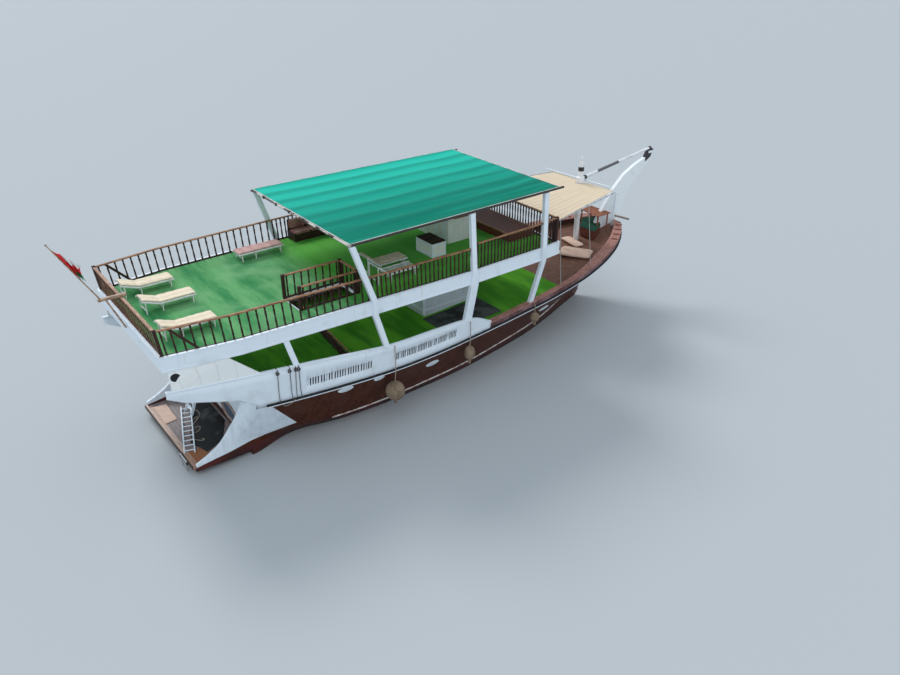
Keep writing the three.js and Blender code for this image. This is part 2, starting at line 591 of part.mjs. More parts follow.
for (const [name, side] of SIDES) {
  const board = sidePlank(fasciaStops, side, (x) => upperHalf(x), (x) => upperHalf(x) - FASCIA_THICK,
    () => FASCIA_TOP - FASCIA_DEPTH, () => FASCIA_TOP);
  const short = loft([
    [SHORT_POST.foot, rise(SHORT_POST.foot), bulwarkOut(SHORT_POST.foot, rise(SHORT_POST.foot)) + 10],
    [SHORT_POST.deck, FASCIA_TOP - FASCIA_DEPTH + 20, upperHalf(SHORT_POST.deck) - 5],
  ].map(([x, z, y]) => [
    [x - SHORT_POST.wide / 2, side * y, z], [x + SHORT_POST.wide / 2, side * y, z],
    [x + SHORT_POST.wide / 2, side * (y - FASCIA_THICK - 20), z],
    [x - SHORT_POST.wide / 2, side * (y - FASCIA_THICK - 20), z],
  ]));
  const frame = joined([board, ...POSTS.map((p) => post(p, side)), short]);
  add(`side_frame_${name}`, cut(frame, sideKeepOuts(side)), WHITE);
}

// Awning pipes: side pipes on the posts, end pipes and purlins joined to them
const PURLINS = 6;
const pipeStops = [AWNING_FROM - 60, AWNING_TO + 250];
const pipes = SIDES.map(([, side]) => bar(
  [pipeStops[0], side * awningHalf(pipeStops[0]), AWNING_Z],
  [pipeStops[1], side * awningHalf(pipeStops[1]), AWNING_Z], PIPE, 8,
));
for (const x of [AWNING_FROM, AWNING_TO]) {
  pipes.push(bar([x, -awningHalf(x), AWNING_Z], [x, awningHalf(x), AWNING_Z], PIPE - 8, 8));
}
for (let i = 1; i <= PURLINS; i += 1) {
  const share = (2 * i) / (PURLINS + 1) - 1;
  pipes.push(bar([AWNING_FROM, share * AWNING_HALF.aft, AWNING_Z + 5],
    [AWNING_TO, share * AWNING_HALF.fore, AWNING_Z + 5], 28, 6));
}
add('awning_pipes', joined(pipes), BLACK);

const AWNING_LOW = AWNING_Z + PIPE + SEAT;
add('green_awning', deckSheet([AWNING_FROM - 30, AWNING_TO + 30], (x) => awningHalf(x) + 20,
  () => AWNING_LOW, () => AWNING_LOW + 25), AWNING_GREEN);

// Balustrades: a bottom rail on the deck, turned balusters and a broad top rail

const BALUSTER = 72;
const BALUSTER_PITCH = { aft: 275, middle: 178, fore: 165 };
const RAIL_WIDE = 90;
const RAIL_THICK = 50;
const BASE_THICK = 60;
const NEWEL = 100;
const NEWEL_PROUD = 15;           // how far a newel stands above the top rail
const JOINT_POST_LOW = 10;        // how far a thinner post stays below it
const RAIL_LAP = 12;
const RAIL_IN = FASCIA_THICK + 10;
const RAIL_RAKE = 0.11;           // the balustrade's lean aft at the stern, fading out forward
const baseLow = UPPER_DECK_TOP + SEAT;

// A straight run of balustrade between two plan points, with posts of the given widths at its ends.
function balustrade([xa, ya], [xb, yb], height, ends, pitch = BALUSTER_PITCH.aft, low = baseLow) {
  const [a, b] = [new THREE.Vector2(xa, ya), new THREE.Vector2(xb, yb)];
  const long = a.distanceTo(b);
  const turn = Math.atan2(yb - ya, xb - xa);
  const run = (u0, u1, half, z0, z1) => box(u0, u1, -half, half, z0, z1);
  const top = low + height;
  const reach = long + (ends[1] > 0 ? RAIL_LAP : 0);
  const pieces = [
    run(0, reach, RAIL_WIDE / 2, top - RAIL_THICK, top),
    run(0, reach, BASE_THICK / 2, low, low + BASE_THICK),
  ];
  const count = Math.max(1, Math.round(long / pitch));
  for (let i = 0; i < count; i += 1) {
    const u = ((i + 0.5) * long) / count;
    pieces.push(run(u - BALUSTER / 2, u + BALUSTER / 2, BALUSTER / 2, low + BASE_THICK - 5, top - RAIL_THICK + 5));
  }
  for (const [u, wide] of [[0, ends[0]], [long, ends[1]]]) {
    const head = top + (wide > BALUSTER ? NEWEL_PROUD : -JOINT_POST_LOW);
    if (wide > 0) pieces.push(run(u - wide / 2, u + wide / 2, wide / 2, low, head));
  }
  return pieces.map((piece) => piece.rotateZ(turn).translate(xa, ya, 0));
}
const RAIL_INSET = RAIL_IN + NEWEL / 2;
const railLine = (x, side) => [x, side * (upperHalf(x) - RAIL_INSET)];
const RAIL_AFT_X = UPPER_PLAN[0].x + RAIL_INSET;
const RAIL_FORE_X = UPPER_PLAN.at(-1).x - RAIL_INSET;
const RAIL_STEP_X = -1200;
const RAIL_STEP = 130;
const RAIL_CLOSE_X = -5850;       // forward of this the balusters stand closer
const aftStops = stopsBetween(RAIL_AFT_X, RAIL_CLOSE_X, UPPER_PLAN);
const middleStops = stopsBetween(RAIL_CLOSE_X, RAIL_STEP_X, UPPER_PLAN);
const foreStops = stopsBetween(RAIL_STEP_X, RAIL_FORE_X, UPPER_PLAN);

// Leans a piece aft by its height above the deck, most at the stern.
function raked(geometry) {
  const at = geometry.attributes.position;
  for (let i = 0; i < at.count; i += 1) {
    const x = at.getX(i);
    const share = Math.max(0, (RAIL_STEP_X - x) / (RAIL_STEP_X - RAIL_AFT_X));
    at.setX(i, x - RAIL_RAKE * share * (at.getZ(i) - baseLow));
  }
  return geometry;
}

// The brace of a corner leans from the top rail down to the foot of a baluster.
const BRACE = { x0: -12250, z0: baseLow + RAIL_HEIGHT - 30, x1: -11560, z1: baseLow + 30, wide: 105, thick: 50 };
const brace = (side) => loft([[BRACE.x0, BRACE.z0], [BRACE.x1, BRACE.z1]].map(([x, z]) => {
  const y = railLine(x, side)[1];
  return [
    [x - BRACE.wide / 2, y - BRACE.thick / 2, z], [x - BRACE.wide / 2, y + BRACE.thick / 2, z],
    [x + BRACE.wide / 2, y + BRACE.thick / 2, z], [x + BRACE.wide / 2, y - BRACE.thick / 2, z],
  ];
}));
for (const [name, side] of SIDES) {
  const pieces = [brace(side)];
  const runs = [
    // stops, height, pitch, widths of the posts at its after and forward end
    [aftStops, RAIL_HEIGHT, BALUSTER_PITCH.aft, NEWEL, BALUSTER],
    [middleStops, RAIL_HEIGHT, BALUSTER_PITCH.middle, 0, NEWEL],
    [foreStops, RAIL_HEIGHT + RAIL_STEP, BALUSTER_PITCH.fore, NEWEL, NEWEL],
  ];
  for (const [stops, height, pitch, first, last] of runs) {
    for (let i = 0; i < stops.length - 1; i += 1) {
      const ends = [i === 0 ? first : 0, i === stops.length - 2 ? last : BALUSTER];
      pieces.push(...balustrade(railLine(stops[i], side), railLine(stops[i + 1], side), height, ends, pitch));
    }
  }
  const leaning = joined(pieces.map(raked));
  add(`railing_${name}`, cut(leaning, POSTS.map((p) => post(p, side, POST_CLEAR))), DARK_WOOD);
}
const CROSS_RAILS = [
  // name, x, height, pitch
  ['railing_aft', RAIL_AFT_X, RAIL_HEIGHT, BALUSTER_PITCH.aft],
  ['railing_fore', RAIL_FORE_X, RAIL_HEIGHT + RAIL_STEP, BALUSTER_PITCH.fore],
];
for (const [name, x, height, pitch] of CROSS_RAILS) {
  const half = upperHalf(x) - RAIL_INSET - NEWEL * 0.6;
  add(name, joined(balustrade([x, -half], [x, half], height, [0, 0], pitch).map(raked)), DARK_WOOD);
}

// Guard round the stair well in three runs, open at the after end where the stair starts
const guard = { x0: STAIR_WELL.x0, x1: STAIR_WELL.x1 + 60, y0: STAIR_WELL.y0 - 60, y1: STAIR_WELL.y1 + 60 };
const guardHeight = RAIL_HEIGHT - 60;
const guardEnd = NEWEL / 2 + 3;
const GUARD_RUNS = [
  // name, from, to, widths of its end posts
  ['stair_rail_port', [guard.x0, guard.y1], [guard.x1, guard.y1], [NEWEL, NEWEL]],
  ['stair_rail_stbd', [guard.x0, guard.y0], [guard.x1, guard.y0], [NEWEL, NEWEL]],
  ['stair_rail_fore', [guard.x1, guard.y0 + guardEnd], [guard.x1, guard.y1 - guardEnd], [0, 0]],
];
for (const [name, from, to, ends] of GUARD_RUNS) {
  const run = balustrade(from, to, guardHeight, ends, BALUSTER_PITCH.aft, upperTurfTop + SEAT);
  add(name, joined(run), DARK_WOOD);
}

// Companion stairs from the main deck up to the after end of the well
const STAIRS = {
  low: [-5900, mainTurfTop(-5900) + SEAT], high: [-7800, UPPER_DECK_TOP - 30], half: 380, rungs: 9,
};
const stairY = (STAIR_WELL.y0 + STAIR_WELL.y1) / 2;
add('companion_stairs', inclinedLadder(STAIRS, stairY, 60, 50, 220), DARK_WOOD);

// After side screens: closed boarding between the stern arms and the fascia
const SCREEN = { from: -12600, toTop: -10800, toLow: -9900, thick: 50 };
const screenTop = FASCIA_TOP - FASCIA_DEPTH - SEAT;
for (const [name, side] of SIDES) {
  const rows = [SCREEN.from, SCREEN.toTop, SCREEN.toLow];
  const tops = [screenTop, screenTop, bulwarkTop(SCREEN.toLow) + 60];
  const screen = loft(rows.map((x, i) => {
    const low = bulwarkTop(x) + SEAT;
    const [yLow, yTop] = [bulwarkOut(x, low) - 10, Math.min(upperHalf(x) - 10, bulwarkOut(x, low) + 120)];
    const top = lerp(yLow, yTop, (tops[i] - low) / (screenTop - low));
    return [
      [x, side * yLow, low], [x, side * top, tops[i]],
      [x, side * (top - SCREEN.thick), tops[i]], [x, side * (yLow - SCREEN.thick), low],
    ];
  }));
  add(`aft_screen_${name}`, screen, WHITE);
}

// Deck cabin amidships: boarded walls from the main deck up to the beams, door in its after wall
const CABIN = { x0: -1700, x1: 900, half: 950, wall: 50, door: 680, doorTop: 1880 };
const cabinFloor = mainTurfTop(CABIN.x1) + SEAT;
const cabinTop = slabLow - BEAM_DEEP - SEAT;
const doorHole = (x, y, wide, low, top, wall) => box(x - wall, x + wall, y - wide / 2, y + wide / 2, low, top);
const cabinOuter = loft([CABIN.x0, -1000, CABIN.x1].map((x) => [
  [x, -CABIN.half, mainTurfTop(x) + SEAT], [x, CABIN.half, mainTurfTop(x) + SEAT],
  [x, CABIN.half, cabinTop], [x, -CABIN.half, cabinTop],
]));
const cabinDoorY = 300;
const cabinSill = mainTurfTop(CABIN.x0) + 60;
add('deck_cabin', cut(cabinOuter, [
  box(CABIN.x0 + CABIN.wall, CABIN.x1 - CABIN.wall, -CABIN.half + CABIN.wall, CABIN.half - CABIN.wall, 0, 6000),
  doorHole(CABIN.x0, cabinDoorY, CABIN.door, cabinSill, cabinSill + CABIN.doorTop, 200),
  box(CABIN.x0 + 900, CABIN.x1 - 700, 500, 2000, cabinSill + 950, cabinSill + 1700),
]), WHITE);
// A door leaf in its frame, hung on two pins that stand just outside the wall's after face.
const DOOR_PIN = { radius: 8, off: 0.2, high: 130, strap: 150, gap: 6 };
const doorAxis = (x, y, wide, hingeSide) => [x - DOOR_PIN.radius - DOOR_PIN.off, y + hingeSide * (wide / 2 + 3)];
function doorLeaf(x, y, wide, low, top, thick, hingeSide) {
  const leaf = box(x - 3, x + thick, y - wide / 2 + DOOR_PIN.gap, y + wide / 2 - DOOR_PIN.gap,
    low + DOOR_PIN.gap, top - DOOR_PIN.gap);
  const knobY = y - hingeSide * (wide / 2 - 80);
  const knob = bar([x + thick / 2, knobY, (low + top) / 2], [x - 70, knobY, (low + top) / 2], 22, 10);
  const [ax, ay] = doorAxis(x, y, wide, hingeSide);
  const fittings = [0.18, 0.82].flatMap((share) => {
    const z = lerp(low, top, share);
    const strapEnd = ay - hingeSide * DOOR_PIN.strap;
    return [
      bar([ax, ay, z - DOOR_PIN.high / 2], [ax, ay, z + DOOR_PIN.high / 2], DOOR_PIN.radius, 10),
      box(ax - 4, x - 2, Math.min(ay, strapEnd), Math.max(ay, strapEnd), z - 30, z + 30),
    ];
  });
  return joined([leaf, knob, ...fittings]);
}
add('cabin_door', doorLeaf(CABIN.x0, cabinDoorY, CABIN.door, cabinSill, cabinSill + CABIN.doorTop, 40, 1), WHITE);

// Wheelhouse on the upper deck: walls and roof in one, windows ahead and at the sides, door aft
const WHEELHOUSE = { x0: -500, x1: 900, half: 1000, wall: 45, door: 640, high: 1960 };
const houseLow = upperTurfTop + SEAT;
const houseTop = houseLow + WHEELHOUSE.high;
const houseDoorY = -520;
const sill = houseLow + 1000;
const head = houseLow + 1680;
const { x0: hx0, x1: hx1, half: hh, wall: hw } = WHEELHOUSE;
add('wheelhouse', cut(joined([
  box(hx0, hx1, -hh, hh, houseLow, houseTop - 30),
  box(hx0 - 90, hx1 + 90, -hh - 90, hh + 90, houseTop - 60, houseTop),
]), [
  box(hx0 + hw, hx1 - hw, -hh + hw, hh - hw, houseLow - 100, houseTop - 60),
  doorHole(hx0, houseDoorY, WHEELHOUSE.door, houseLow + 40, houseLow + 1800, 200),
  ...[-640, 0, 640].map((y) => box(hx1 - 200, hx1 + 200, y - 270, y + 270, sill, head)),
  box(hx0 + 350, hx1 - 250, hh - 200, hh + 200, sill, head),
  box(hx0 + 350, hx1 - 250, -hh - 200, -hh + 200, sill, head),
  box(hx0 - 200, hx0 + 200, 150, 800, sill, head),
]), WHITE);
add('wheelhouse_door', doorLeaf(hx0, houseDoorY, WHEELHOUSE.door, houseLow + 40, houseLow + 1800, 35, -1), WHITE);

// Steering wheel on its shaft, standing off the wheelhouse's forward wall
const HELM = { x: 620, y: 0, z: houseLow + 900, radius: 280, rim: 18, spokes: 8, grip: 110 };
const rim = new THREE.TorusGeometry(HELM.radius, HELM.rim, 6, 24);
rim.rotateY(Math.PI / 2);
rim.translate(HELM.x, HELM.y, HELM.z);
const helmPieces = [rim, bar([HELM.x - 45, HELM.y, HELM.z], [hx1 - hw - SEAT, HELM.y, HELM.z], 35, 12)];
for (let i = 0; i < HELM.spokes; i += 1) {
  const a = (i * 2 * Math.PI) / HELM.spokes;
  const out = HELM.radius + HELM.grip;
  helmPieces.push(bar([HELM.x, HELM.y, HELM.z],
    [HELM.x, HELM.y + out * Math.cos(a), HELM.z + out * Math.sin(a)], 12, 6));
}
add('helm_wheel', joined(helmPieces), DARK_WOOD);

// Mast stub with its spar to the stem head, and the fore awning on its light frame
const MAST = { x: 7860, band: 6370, top: 6960, low: 130, high: 95 };
const mastFoot = deckZ(MAST.x + MAST.low) + SEAT;
add('mast_stub', joined([
  bar([MAST.x, 0, mastFoot], [MAST.x, 0, MAST.band], MAST.low, 16, 110),
  bar([MAST.x, 0, MAST.band - 10], [MAST.x, 0, MAST.band + 90], 150, 16),
  bar([MAST.x, 0, MAST.band], [MAST.x, 0, MAST.top], MAST.high, 16, 25),
]), WHITE);

const SPAR = { from: [MAST.x + 60, 0, 5881], to: [12600, 0, 6545], thick: 74, thin: 60 };
add('bow_spar', cut(bar(SPAR.from, SPAR.to, SPAR.thick, 12, SPAR.thin), [
  bar([MAST.x, 0, 5500], [MAST.x, 0, MAST.band - 20], MAST.low - 12, 16),
  box(STEM_HEAD.x0 - 100, STEM_HEAD.x1 + 100, -200, 200, STEM_HEAD.z - 200, STEM_HEAD.z + SEAT),
]), WHITE);

const FORE = { x0: 3850, x1: 8010, half0: 2800, half1: 1950, z0: 5600, z1: 5700, pipe: 22, leg: 13 };
const foreHalf = (x) => lerp(FORE.half0, FORE.half1, (x - FORE.x0) / (FORE.x1 - FORE.x0));
const foreZ = (x) => lerp(FORE.z0, FORE.z1, (x - FORE.x0) / (FORE.x1 - FORE.x0));
const foreCorner = (x, side) => [x, side * foreHalf(x), foreZ(x)];
const FORE_LUG = 45;
const foreFrame = SIDES.map(([, side]) => bar(foreCorner(FORE.x0 - FORE_LUG, side),
  foreCorner(FORE.x1 + FORE_LUG, side), FORE.pipe, 8));
for (const x of [FORE.x0, (FORE.x0 + FORE.x1) / 2]) {
  foreFrame.push(bar(foreCorner(x, -1), foreCorner(x, 1), FORE.pipe - 4, 8));
  for (const [, side] of SIDES) {
    const foot = [x + 30, side * (sheerHalf(x) - GUNWALE_WIDE / 2), sheerZ(x) + GUNWALE_RISE - 20];
    foreFrame.push(bar(foot, foreCorner(x + 30, side), FORE.leg, 6));
  }
}
add('fore_awning_frame', cut(joined(foreFrame), SIDES.flatMap(([, side]) => sideKeepOuts(side))), STEEL);

const FORE_CLOTH = 20;
const foreCloth = loft([FORE.x0 - 20, FORE.x1 + 20].map((x) => {
  const [half, z] = [foreHalf(x) + 25, foreZ(x) + FORE.pipe + SEAT];
  return [[x, -half, z], [x, half, z], [x, half, z + FORE_CLOTH], [x, -half, z + FORE_CLOTH]];
}));
add('fore_awning', cut(foreCloth, [bar([MAST.x, 0, 5000], [MAST.x, 0, 6200], 150, 16)]), CANVAS);

// Flag beam over the after rail with its strut, the raked staff, and the flag
const FLAG_BEAM = { x0: -12560, x1: -13430, half: 60, low: UPPER_DECK_TOP + SEAT + RAIL_HEIGHT + SEAT, thick: 90 };
const staffFoot = [-13340, 0, FLAG_BEAM.low + FLAG_BEAM.thick / 2];
const staffTop = [-14480, 0, 8110];
add('flagstaff', joined([
  box(FLAG_BEAM.x1, FLAG_BEAM.x0, -FLAG_BEAM.half, FLAG_BEAM.half, FLAG_BEAM.low, FLAG_BEAM.low + FLAG_BEAM.thick),
  bar([-13200, 0, FLAG_BEAM.low + 20], [UPPER_PLAN[0].x - 32, 0, 4860], 30, 8),
  bar(staffFoot, staffTop, 24, 8, 16),
]), PLANK_TAN);
const staffAt = (t) => staffFoot.map((v, i) => lerp(v, staffTop[i], t));
// The cloth hangs limp: its fly edge, from low to high, stands off the hoist by these runs along x and z.
const FLAG = { low: 0.45, high: 0.9, flyLow: [200, -200], flyHigh: [670, -640], half: 8 };
const hoist = [staffAt(FLAG.low), staffAt(FLAG.high)];
const flagCloth = loft([0, 1].map((t) => {
  const [a, b] = [FLAG.flyLow, FLAG.flyHigh].map(([x, z], i) => [hoist[i][0] + t * x, hoist[i][2] + t * z]);
  return [[a[0], -FLAG.half, a[1]], [a[0], FLAG.half, a[1]], [b[0], FLAG.half, b[1]], [b[0], -FLAG.half, b[1]]];
}));
add('flag', cut(flagCloth, [bar(staffFoot, staffTop, 24 + SEAT, 8, 16 + SEAT)]), FLAG_CLOTH);

// White chest with a dark lid hinged along its port edge
const CHEST = { x0: -1850, x1: -1250, y0: -1800, y1: -800, high: 560, wall: 30, lid: 45 };
const chestLow = upperTurfTop + SEAT;
add('chest', cut(box(CHEST.x0, CHEST.x1, CHEST.y0, CHEST.y1, chestLow, chestLow + CHEST.high), [
  box(CHEST.x0 + CHEST.wall, CHEST.x1 - CHEST.wall, CHEST.y0 + CHEST.wall, CHEST.y1 - CHEST.wall,
    chestLow + CHEST.wall, chestLow + 2 * CHEST.high),
]), WHITE);
const lidLow = chestLow + CHEST.high + SEAT;
add('chest_lid', box(CHEST.x0 - 15, CHEST.x1 + 15, CHEST.y0 - 15, CHEST.y1, lidLow, lidLow + CHEST.lid), DARK_WOOD);

// Long upholstered bench against the port balustrade
const BENCH = { x0: -5200, x1: -3000, seat: 400, deep: 620, back: 780, thick: 130 };
const benchOut = Math.min(upperHalf(BENCH.x0), upperHalf(BENCH.x1)) - RAIL_INSET - NEWEL / 2 - 20;
add('port_bench', joined([
  box(BENCH.x0, BENCH.x1, benchOut - BENCH.deep, benchOut, upperTurfTop + SEAT, upperTurfTop + BENCH.seat),
  box(BENCH.x0, BENCH.x1, benchOut - BENCH.thick, benchOut, upperTurfTop + SEAT, upperTurfTop + BENCH.back),
]), DARK_WOOD);

// Broad low bench across the forward end of the upper deck, boxed in below its seat boards
const FORE_BENCH = { x0: 1480, x1: 2820, half: 2400, seat: 350, board: 45, lap: 40 };
const benchLow = upperTurfTop + SEAT;
add('fore_bench', joined([
  box(FORE_BENCH.x0 + FORE_BENCH.lap, FORE_BENCH.x1 - FORE_BENCH.lap, -FORE_BENCH.half + FORE_BENCH.lap,
    FORE_BENCH.half - FORE_BENCH.lap, benchLow, benchLow + FORE_BENCH.seat),
  box(FORE_BENCH.x0, FORE_BENCH.x1, -FORE_BENCH.half, FORE_BENCH.half,
    benchLow + FORE_BENCH.seat - FORE_BENCH.board, benchLow + FORE_BENCH.seat),
]), DARK_WOOD);

// Sun loungers: a moulded frame on legs with a mattress on it, head end raised
const LOUNGERS = [
  // name, x at the middle, y at the middle, turn in degrees (0 puts the head end forward), back in degrees
  ['lounger_aft_port', -11400, 2000, 180, 20],
  ['lounger_aft_mid', -11250, 350, 180, 20],
  ['lounger_aft_stbd', -11400, -1800, 180, 20],
  ['lounger_well', -6900, 2550, 180, 0],
  ['lounger_rail', -4000, -2300, 180, 40],
  ['lounger_awning', -3850, -1400, 180, 40],
];
const LOUNGER = { long: 1880, wide: 640, seat: 290, mat: 70, back: 640, leg: 50 };
function lounger(back) {
  const hinge = LOUNGER.long / 2 - LOUNGER.back;
  const half = LOUNGER.wide / 2;
  const flat = box(-LOUNGER.long / 2, hinge + 10, -half, half, LOUNGER.seat - 60, LOUNGER.seat + LOUNGER.mat);
  const rest = box(0, LOUNGER.back, -half, half, -60, LOUNGER.mat);
  rest.rotateY(-THREE.MathUtils.degToRad(back));
  rest.translate(hinge, 0, LOUNGER.seat);
  const legs = [-LOUNGER.long / 2 + 150, hinge - 60, LOUNGER.long / 2 - 160].flatMap((x) => [-1, 1].map((s) => {
    const top = x > hinge ? LOUNGER.seat + (x - hinge) * Math.tan(THREE.MathUtils.degToRad(back)) - 20
      : LOUNGER.seat - 20;
    return box(x - LOUNGER.leg / 2, x + LOUNGER.leg / 2, s * (half - 30) - 25, s * (half - 30) + 25, 0, top);
  }));
  return joined([flat, rest, ...legs]);
}
for (const [name, x, y, turn, back] of LOUNGERS) {
  const piece = lounger(back);
  piece.rotateZ(THREE.MathUtils.degToRad(turn));
  add(name, piece.translate(x, y, upperTurfTop + SEAT), WHITE);
}

// Rope fenders hung against the starboard planking from their lanyards
const FENDERS = [
  // name, x, height of the middle, radius, half length
  ['fender_aft', -5000, 1250, 330, 330],
  ['fender_mid', -1450, 1620, 210, 310],
  ['fender_fore', 2150, 1960, 190, 200],
];
const LANYARD = 16;
for (const [name, x, z, radius, half] of FENDERS) {
  const ball = new THREE.SphereGeometry(radius, 14, 9);
  ball.rotateX(Math.PI / 2);
  ball.scale(1, 1, half / radius);
  const y = -Math.max(planking(x, z + half * 0.5) + radius + LANYARD, sheerHalf(x) + STRAKE_OUT + 2 * LANYARD);
  ball.translate(x, y, z);
  const top = rise(x) - 20;
  const face = x > BULWARK_TO ? sheerHalf(x) : bulwarkOut(x, top);
  const guardY = Math.max(face, sheerHalf(x) + STRAKE_OUT) + LANYARD - 1;
  const lanyard = [
    bar([x, y, z + half - 30], [x, -guardY, sheerZ(x) + 8], LANYARD, 6),
    bar([x, -guardY, sheerZ(x) - 8], [x, -(face + 4), top], LANYARD, 6),
  ];
  add(name, cut(joined([ball, ...lanyard]), [...sideKeepOuts(-1), strakeBlank(-1, SEAT)]), ROPE);
}

export default part;
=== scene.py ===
"""A motorised passenger dhow, afloat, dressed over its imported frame.
Metres: +X toward the bow, +Y to port, +Z up, z = 0 at the waterline."""

import bpy
import numpy as np
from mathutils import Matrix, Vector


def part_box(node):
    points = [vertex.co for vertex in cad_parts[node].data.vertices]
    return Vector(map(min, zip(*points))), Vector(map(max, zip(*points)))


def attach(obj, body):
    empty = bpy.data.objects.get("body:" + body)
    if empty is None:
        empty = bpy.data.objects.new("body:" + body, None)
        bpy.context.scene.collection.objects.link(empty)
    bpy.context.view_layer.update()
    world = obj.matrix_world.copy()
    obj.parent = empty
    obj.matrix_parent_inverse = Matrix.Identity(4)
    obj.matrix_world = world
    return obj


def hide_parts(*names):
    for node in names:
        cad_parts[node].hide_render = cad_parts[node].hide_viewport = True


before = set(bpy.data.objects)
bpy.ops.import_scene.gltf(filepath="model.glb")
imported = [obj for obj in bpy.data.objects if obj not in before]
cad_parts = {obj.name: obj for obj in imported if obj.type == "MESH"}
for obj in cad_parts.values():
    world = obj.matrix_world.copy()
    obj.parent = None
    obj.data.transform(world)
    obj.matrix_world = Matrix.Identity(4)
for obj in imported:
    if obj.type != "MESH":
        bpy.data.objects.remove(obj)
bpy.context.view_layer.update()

# Camera, floor and light. The boat is seen from above its starboard quarter, as from a drone.
# The floor lies at the waterline, so what is under water is out of sight from above. Soft light
# comes from the port side and leaves the starboard side in open shade.
bpy.context.scene.view_settings.view_transform = "Standard"
eye = (-18.2, -24.2, 16.75)
heading_deg, pitch_deg = 52.5, 28.6
camera = bpy.data.objects.new("camera", bpy.data.cameras.new("camera"))
camera.data.sensor_width = 36.0
camera.data.lens = 31.6
camera.data.clip_end = 2000.0
camera.location = eye
camera.rotation_euler = (np.radians(90 - pitch_deg), 0.0, np.radians(heading_deg - 90))
bpy.context.scene.collection.objects.link(camera)
bpy.context.scene.camera = camera

floor_mesh = bpy.data.meshes.new("floor")
floor_half = 800.0
floor_mesh.from_pydata([(-floor_half, -floor_half, 0), (floor_half, -floor_half, 0),
                        (floor_half, floor_half, 0), (-floor_half, floor_half, 0)], [], [(0, 1, 2, 3)])
floor = bpy.data.objects.new("floor", floor_mesh)
bpy.context.scene.collection.objects.link(floor)
floor_paint = bpy.data.materials.new("floor")
floor_paint.use_nodes = True
floor_shader = floor_paint.node_tree.nodes["Principled BSDF"]
floor_shader.inputs["Base Color"].default_value = (0.44, 0.47, 0.49, 1)
floor_shader.inputs["Roughness"].default_value = 0.8
floor_shader.inputs["Specular IOR Level"].default_value = 0.1
floor_mesh.materials.append(floor_paint)

world = bpy.data.worlds.new("sky")
world.use_nodes = True
world.node_tree.nodes["Background"].inputs["Color"].default_value = (0.78, 0.87, 0.96, 1)
world.node_tree.nodes["Background"].inputs["Strength"].default_value = 0.82
bpy.context.scene.world = world
for name, strength, spread, turn in (("sun", 1.7, 20, (48, 0, 178)), ("fill", 0.55, 60, (50, 0, -35))):
    lamp = bpy.data.objects.new(name, bpy.data.lights.new(name, "SUN"))
    lamp.data.energy = strength
    lamp.data.angle = np.radians(spread)
    lamp.rotation_euler = np.radians(turn)
    bpy.context.scene.collection.objects.link(lamp)


# Hull planking: carvel planks of brown-painted teak from the keel to the sheer, decked over.
# The quarters aft are painted white over the same planks, and the bottom is dull red-brown.
class Value:
    """An output of a shader node. Sums, products and comparisons of Values add Math nodes."""

    def __init__(self, socket):
        self.socket = socket

    def node(self, kind, settings=None, inputs=None, output=0):
        """Adds a node to the same material: its settings first, then its sockets' values or links."""
        tree = self.socket.id_data
        made = tree.nodes.new(kind)
        for key, setting in (settings or {}).items():
            if key == "stops":
                for number, (place, colour) in enumerate(setting):
                    stops = made.color_ramp.elements
                    stop = stops[number] if number < 2 else stops.new(place)
                    stop.position = place
                    stop.color = (*colour, 1)
            else:
                setattr(made, key, setting)
        for key, value in (inputs or {}).items():
            if isinstance(value, Value):
                tree.links.new(value.socket, made.inputs[key])
            else:
                made.inputs[key].default_value = value
        return Value(made.outputs[output])

    def math(self, operation, first, second):
        return self.node("ShaderNodeMath", {"operation": operation}, {0: first, 1: second})

    def __add__(self, other):
        return self.math("ADD", self, other)

    def __mul__(self, other):
        return self.math("MULTIPLY", self, other)

    def __sub__(self, other):
        return self.math("SUBTRACT", self, other)

    def __rsub__(self, other):
        return self.math("SUBTRACT", other, self)

    def __gt__(self, other):
        return self.math("GREATER_THAN", self, other)

    def __lt__(self, other):
        return self.math("LESS_THAN", self, other)

    def ramp(self, low, high):
        """0 below low, 1 above high and smooth between them; low may be the larger."""
        return self.node("ShaderNodeMapRange", {"interpolation_type": "SMOOTHSTEP"},
                         {"Value": self, "From Min": low, "From Max": high})

    def wrap(self, period):
        """1 at whole multiples of period, falling to 0 halfway between them."""
        part = self.math("FRACT", self * (1 / period), 0)
        return self.math("ABSOLUTE", part * 2 - 1, 0)

    def noise(self, scale, detail=3.0, roughness=0.55, stretch=(1, 1, 1)):
        """Cloudy noise around 0.5 over this vector, stretched along its axes."""
        place = self.node("ShaderNodeVectorMath", {"operation": "MULTIPLY"}, {0: self, 1: stretch})
        return self.node("ShaderNodeTexNoise", None, {"Vector": place, "Scale": scale, "Detail": detail,
                                                      "Roughness": roughness})

    def mix(self, first, second):
        """The colour first where this is 0 and second where it is 1."""
        ends = [c if isinstance(c, Value) else (*c, 1) for c in (first, second)]
        return self.node("ShaderNodeMix", {"data_type": "RGBA"}, {0: self, 6: ends[0], 7: ends[1]}, 2)


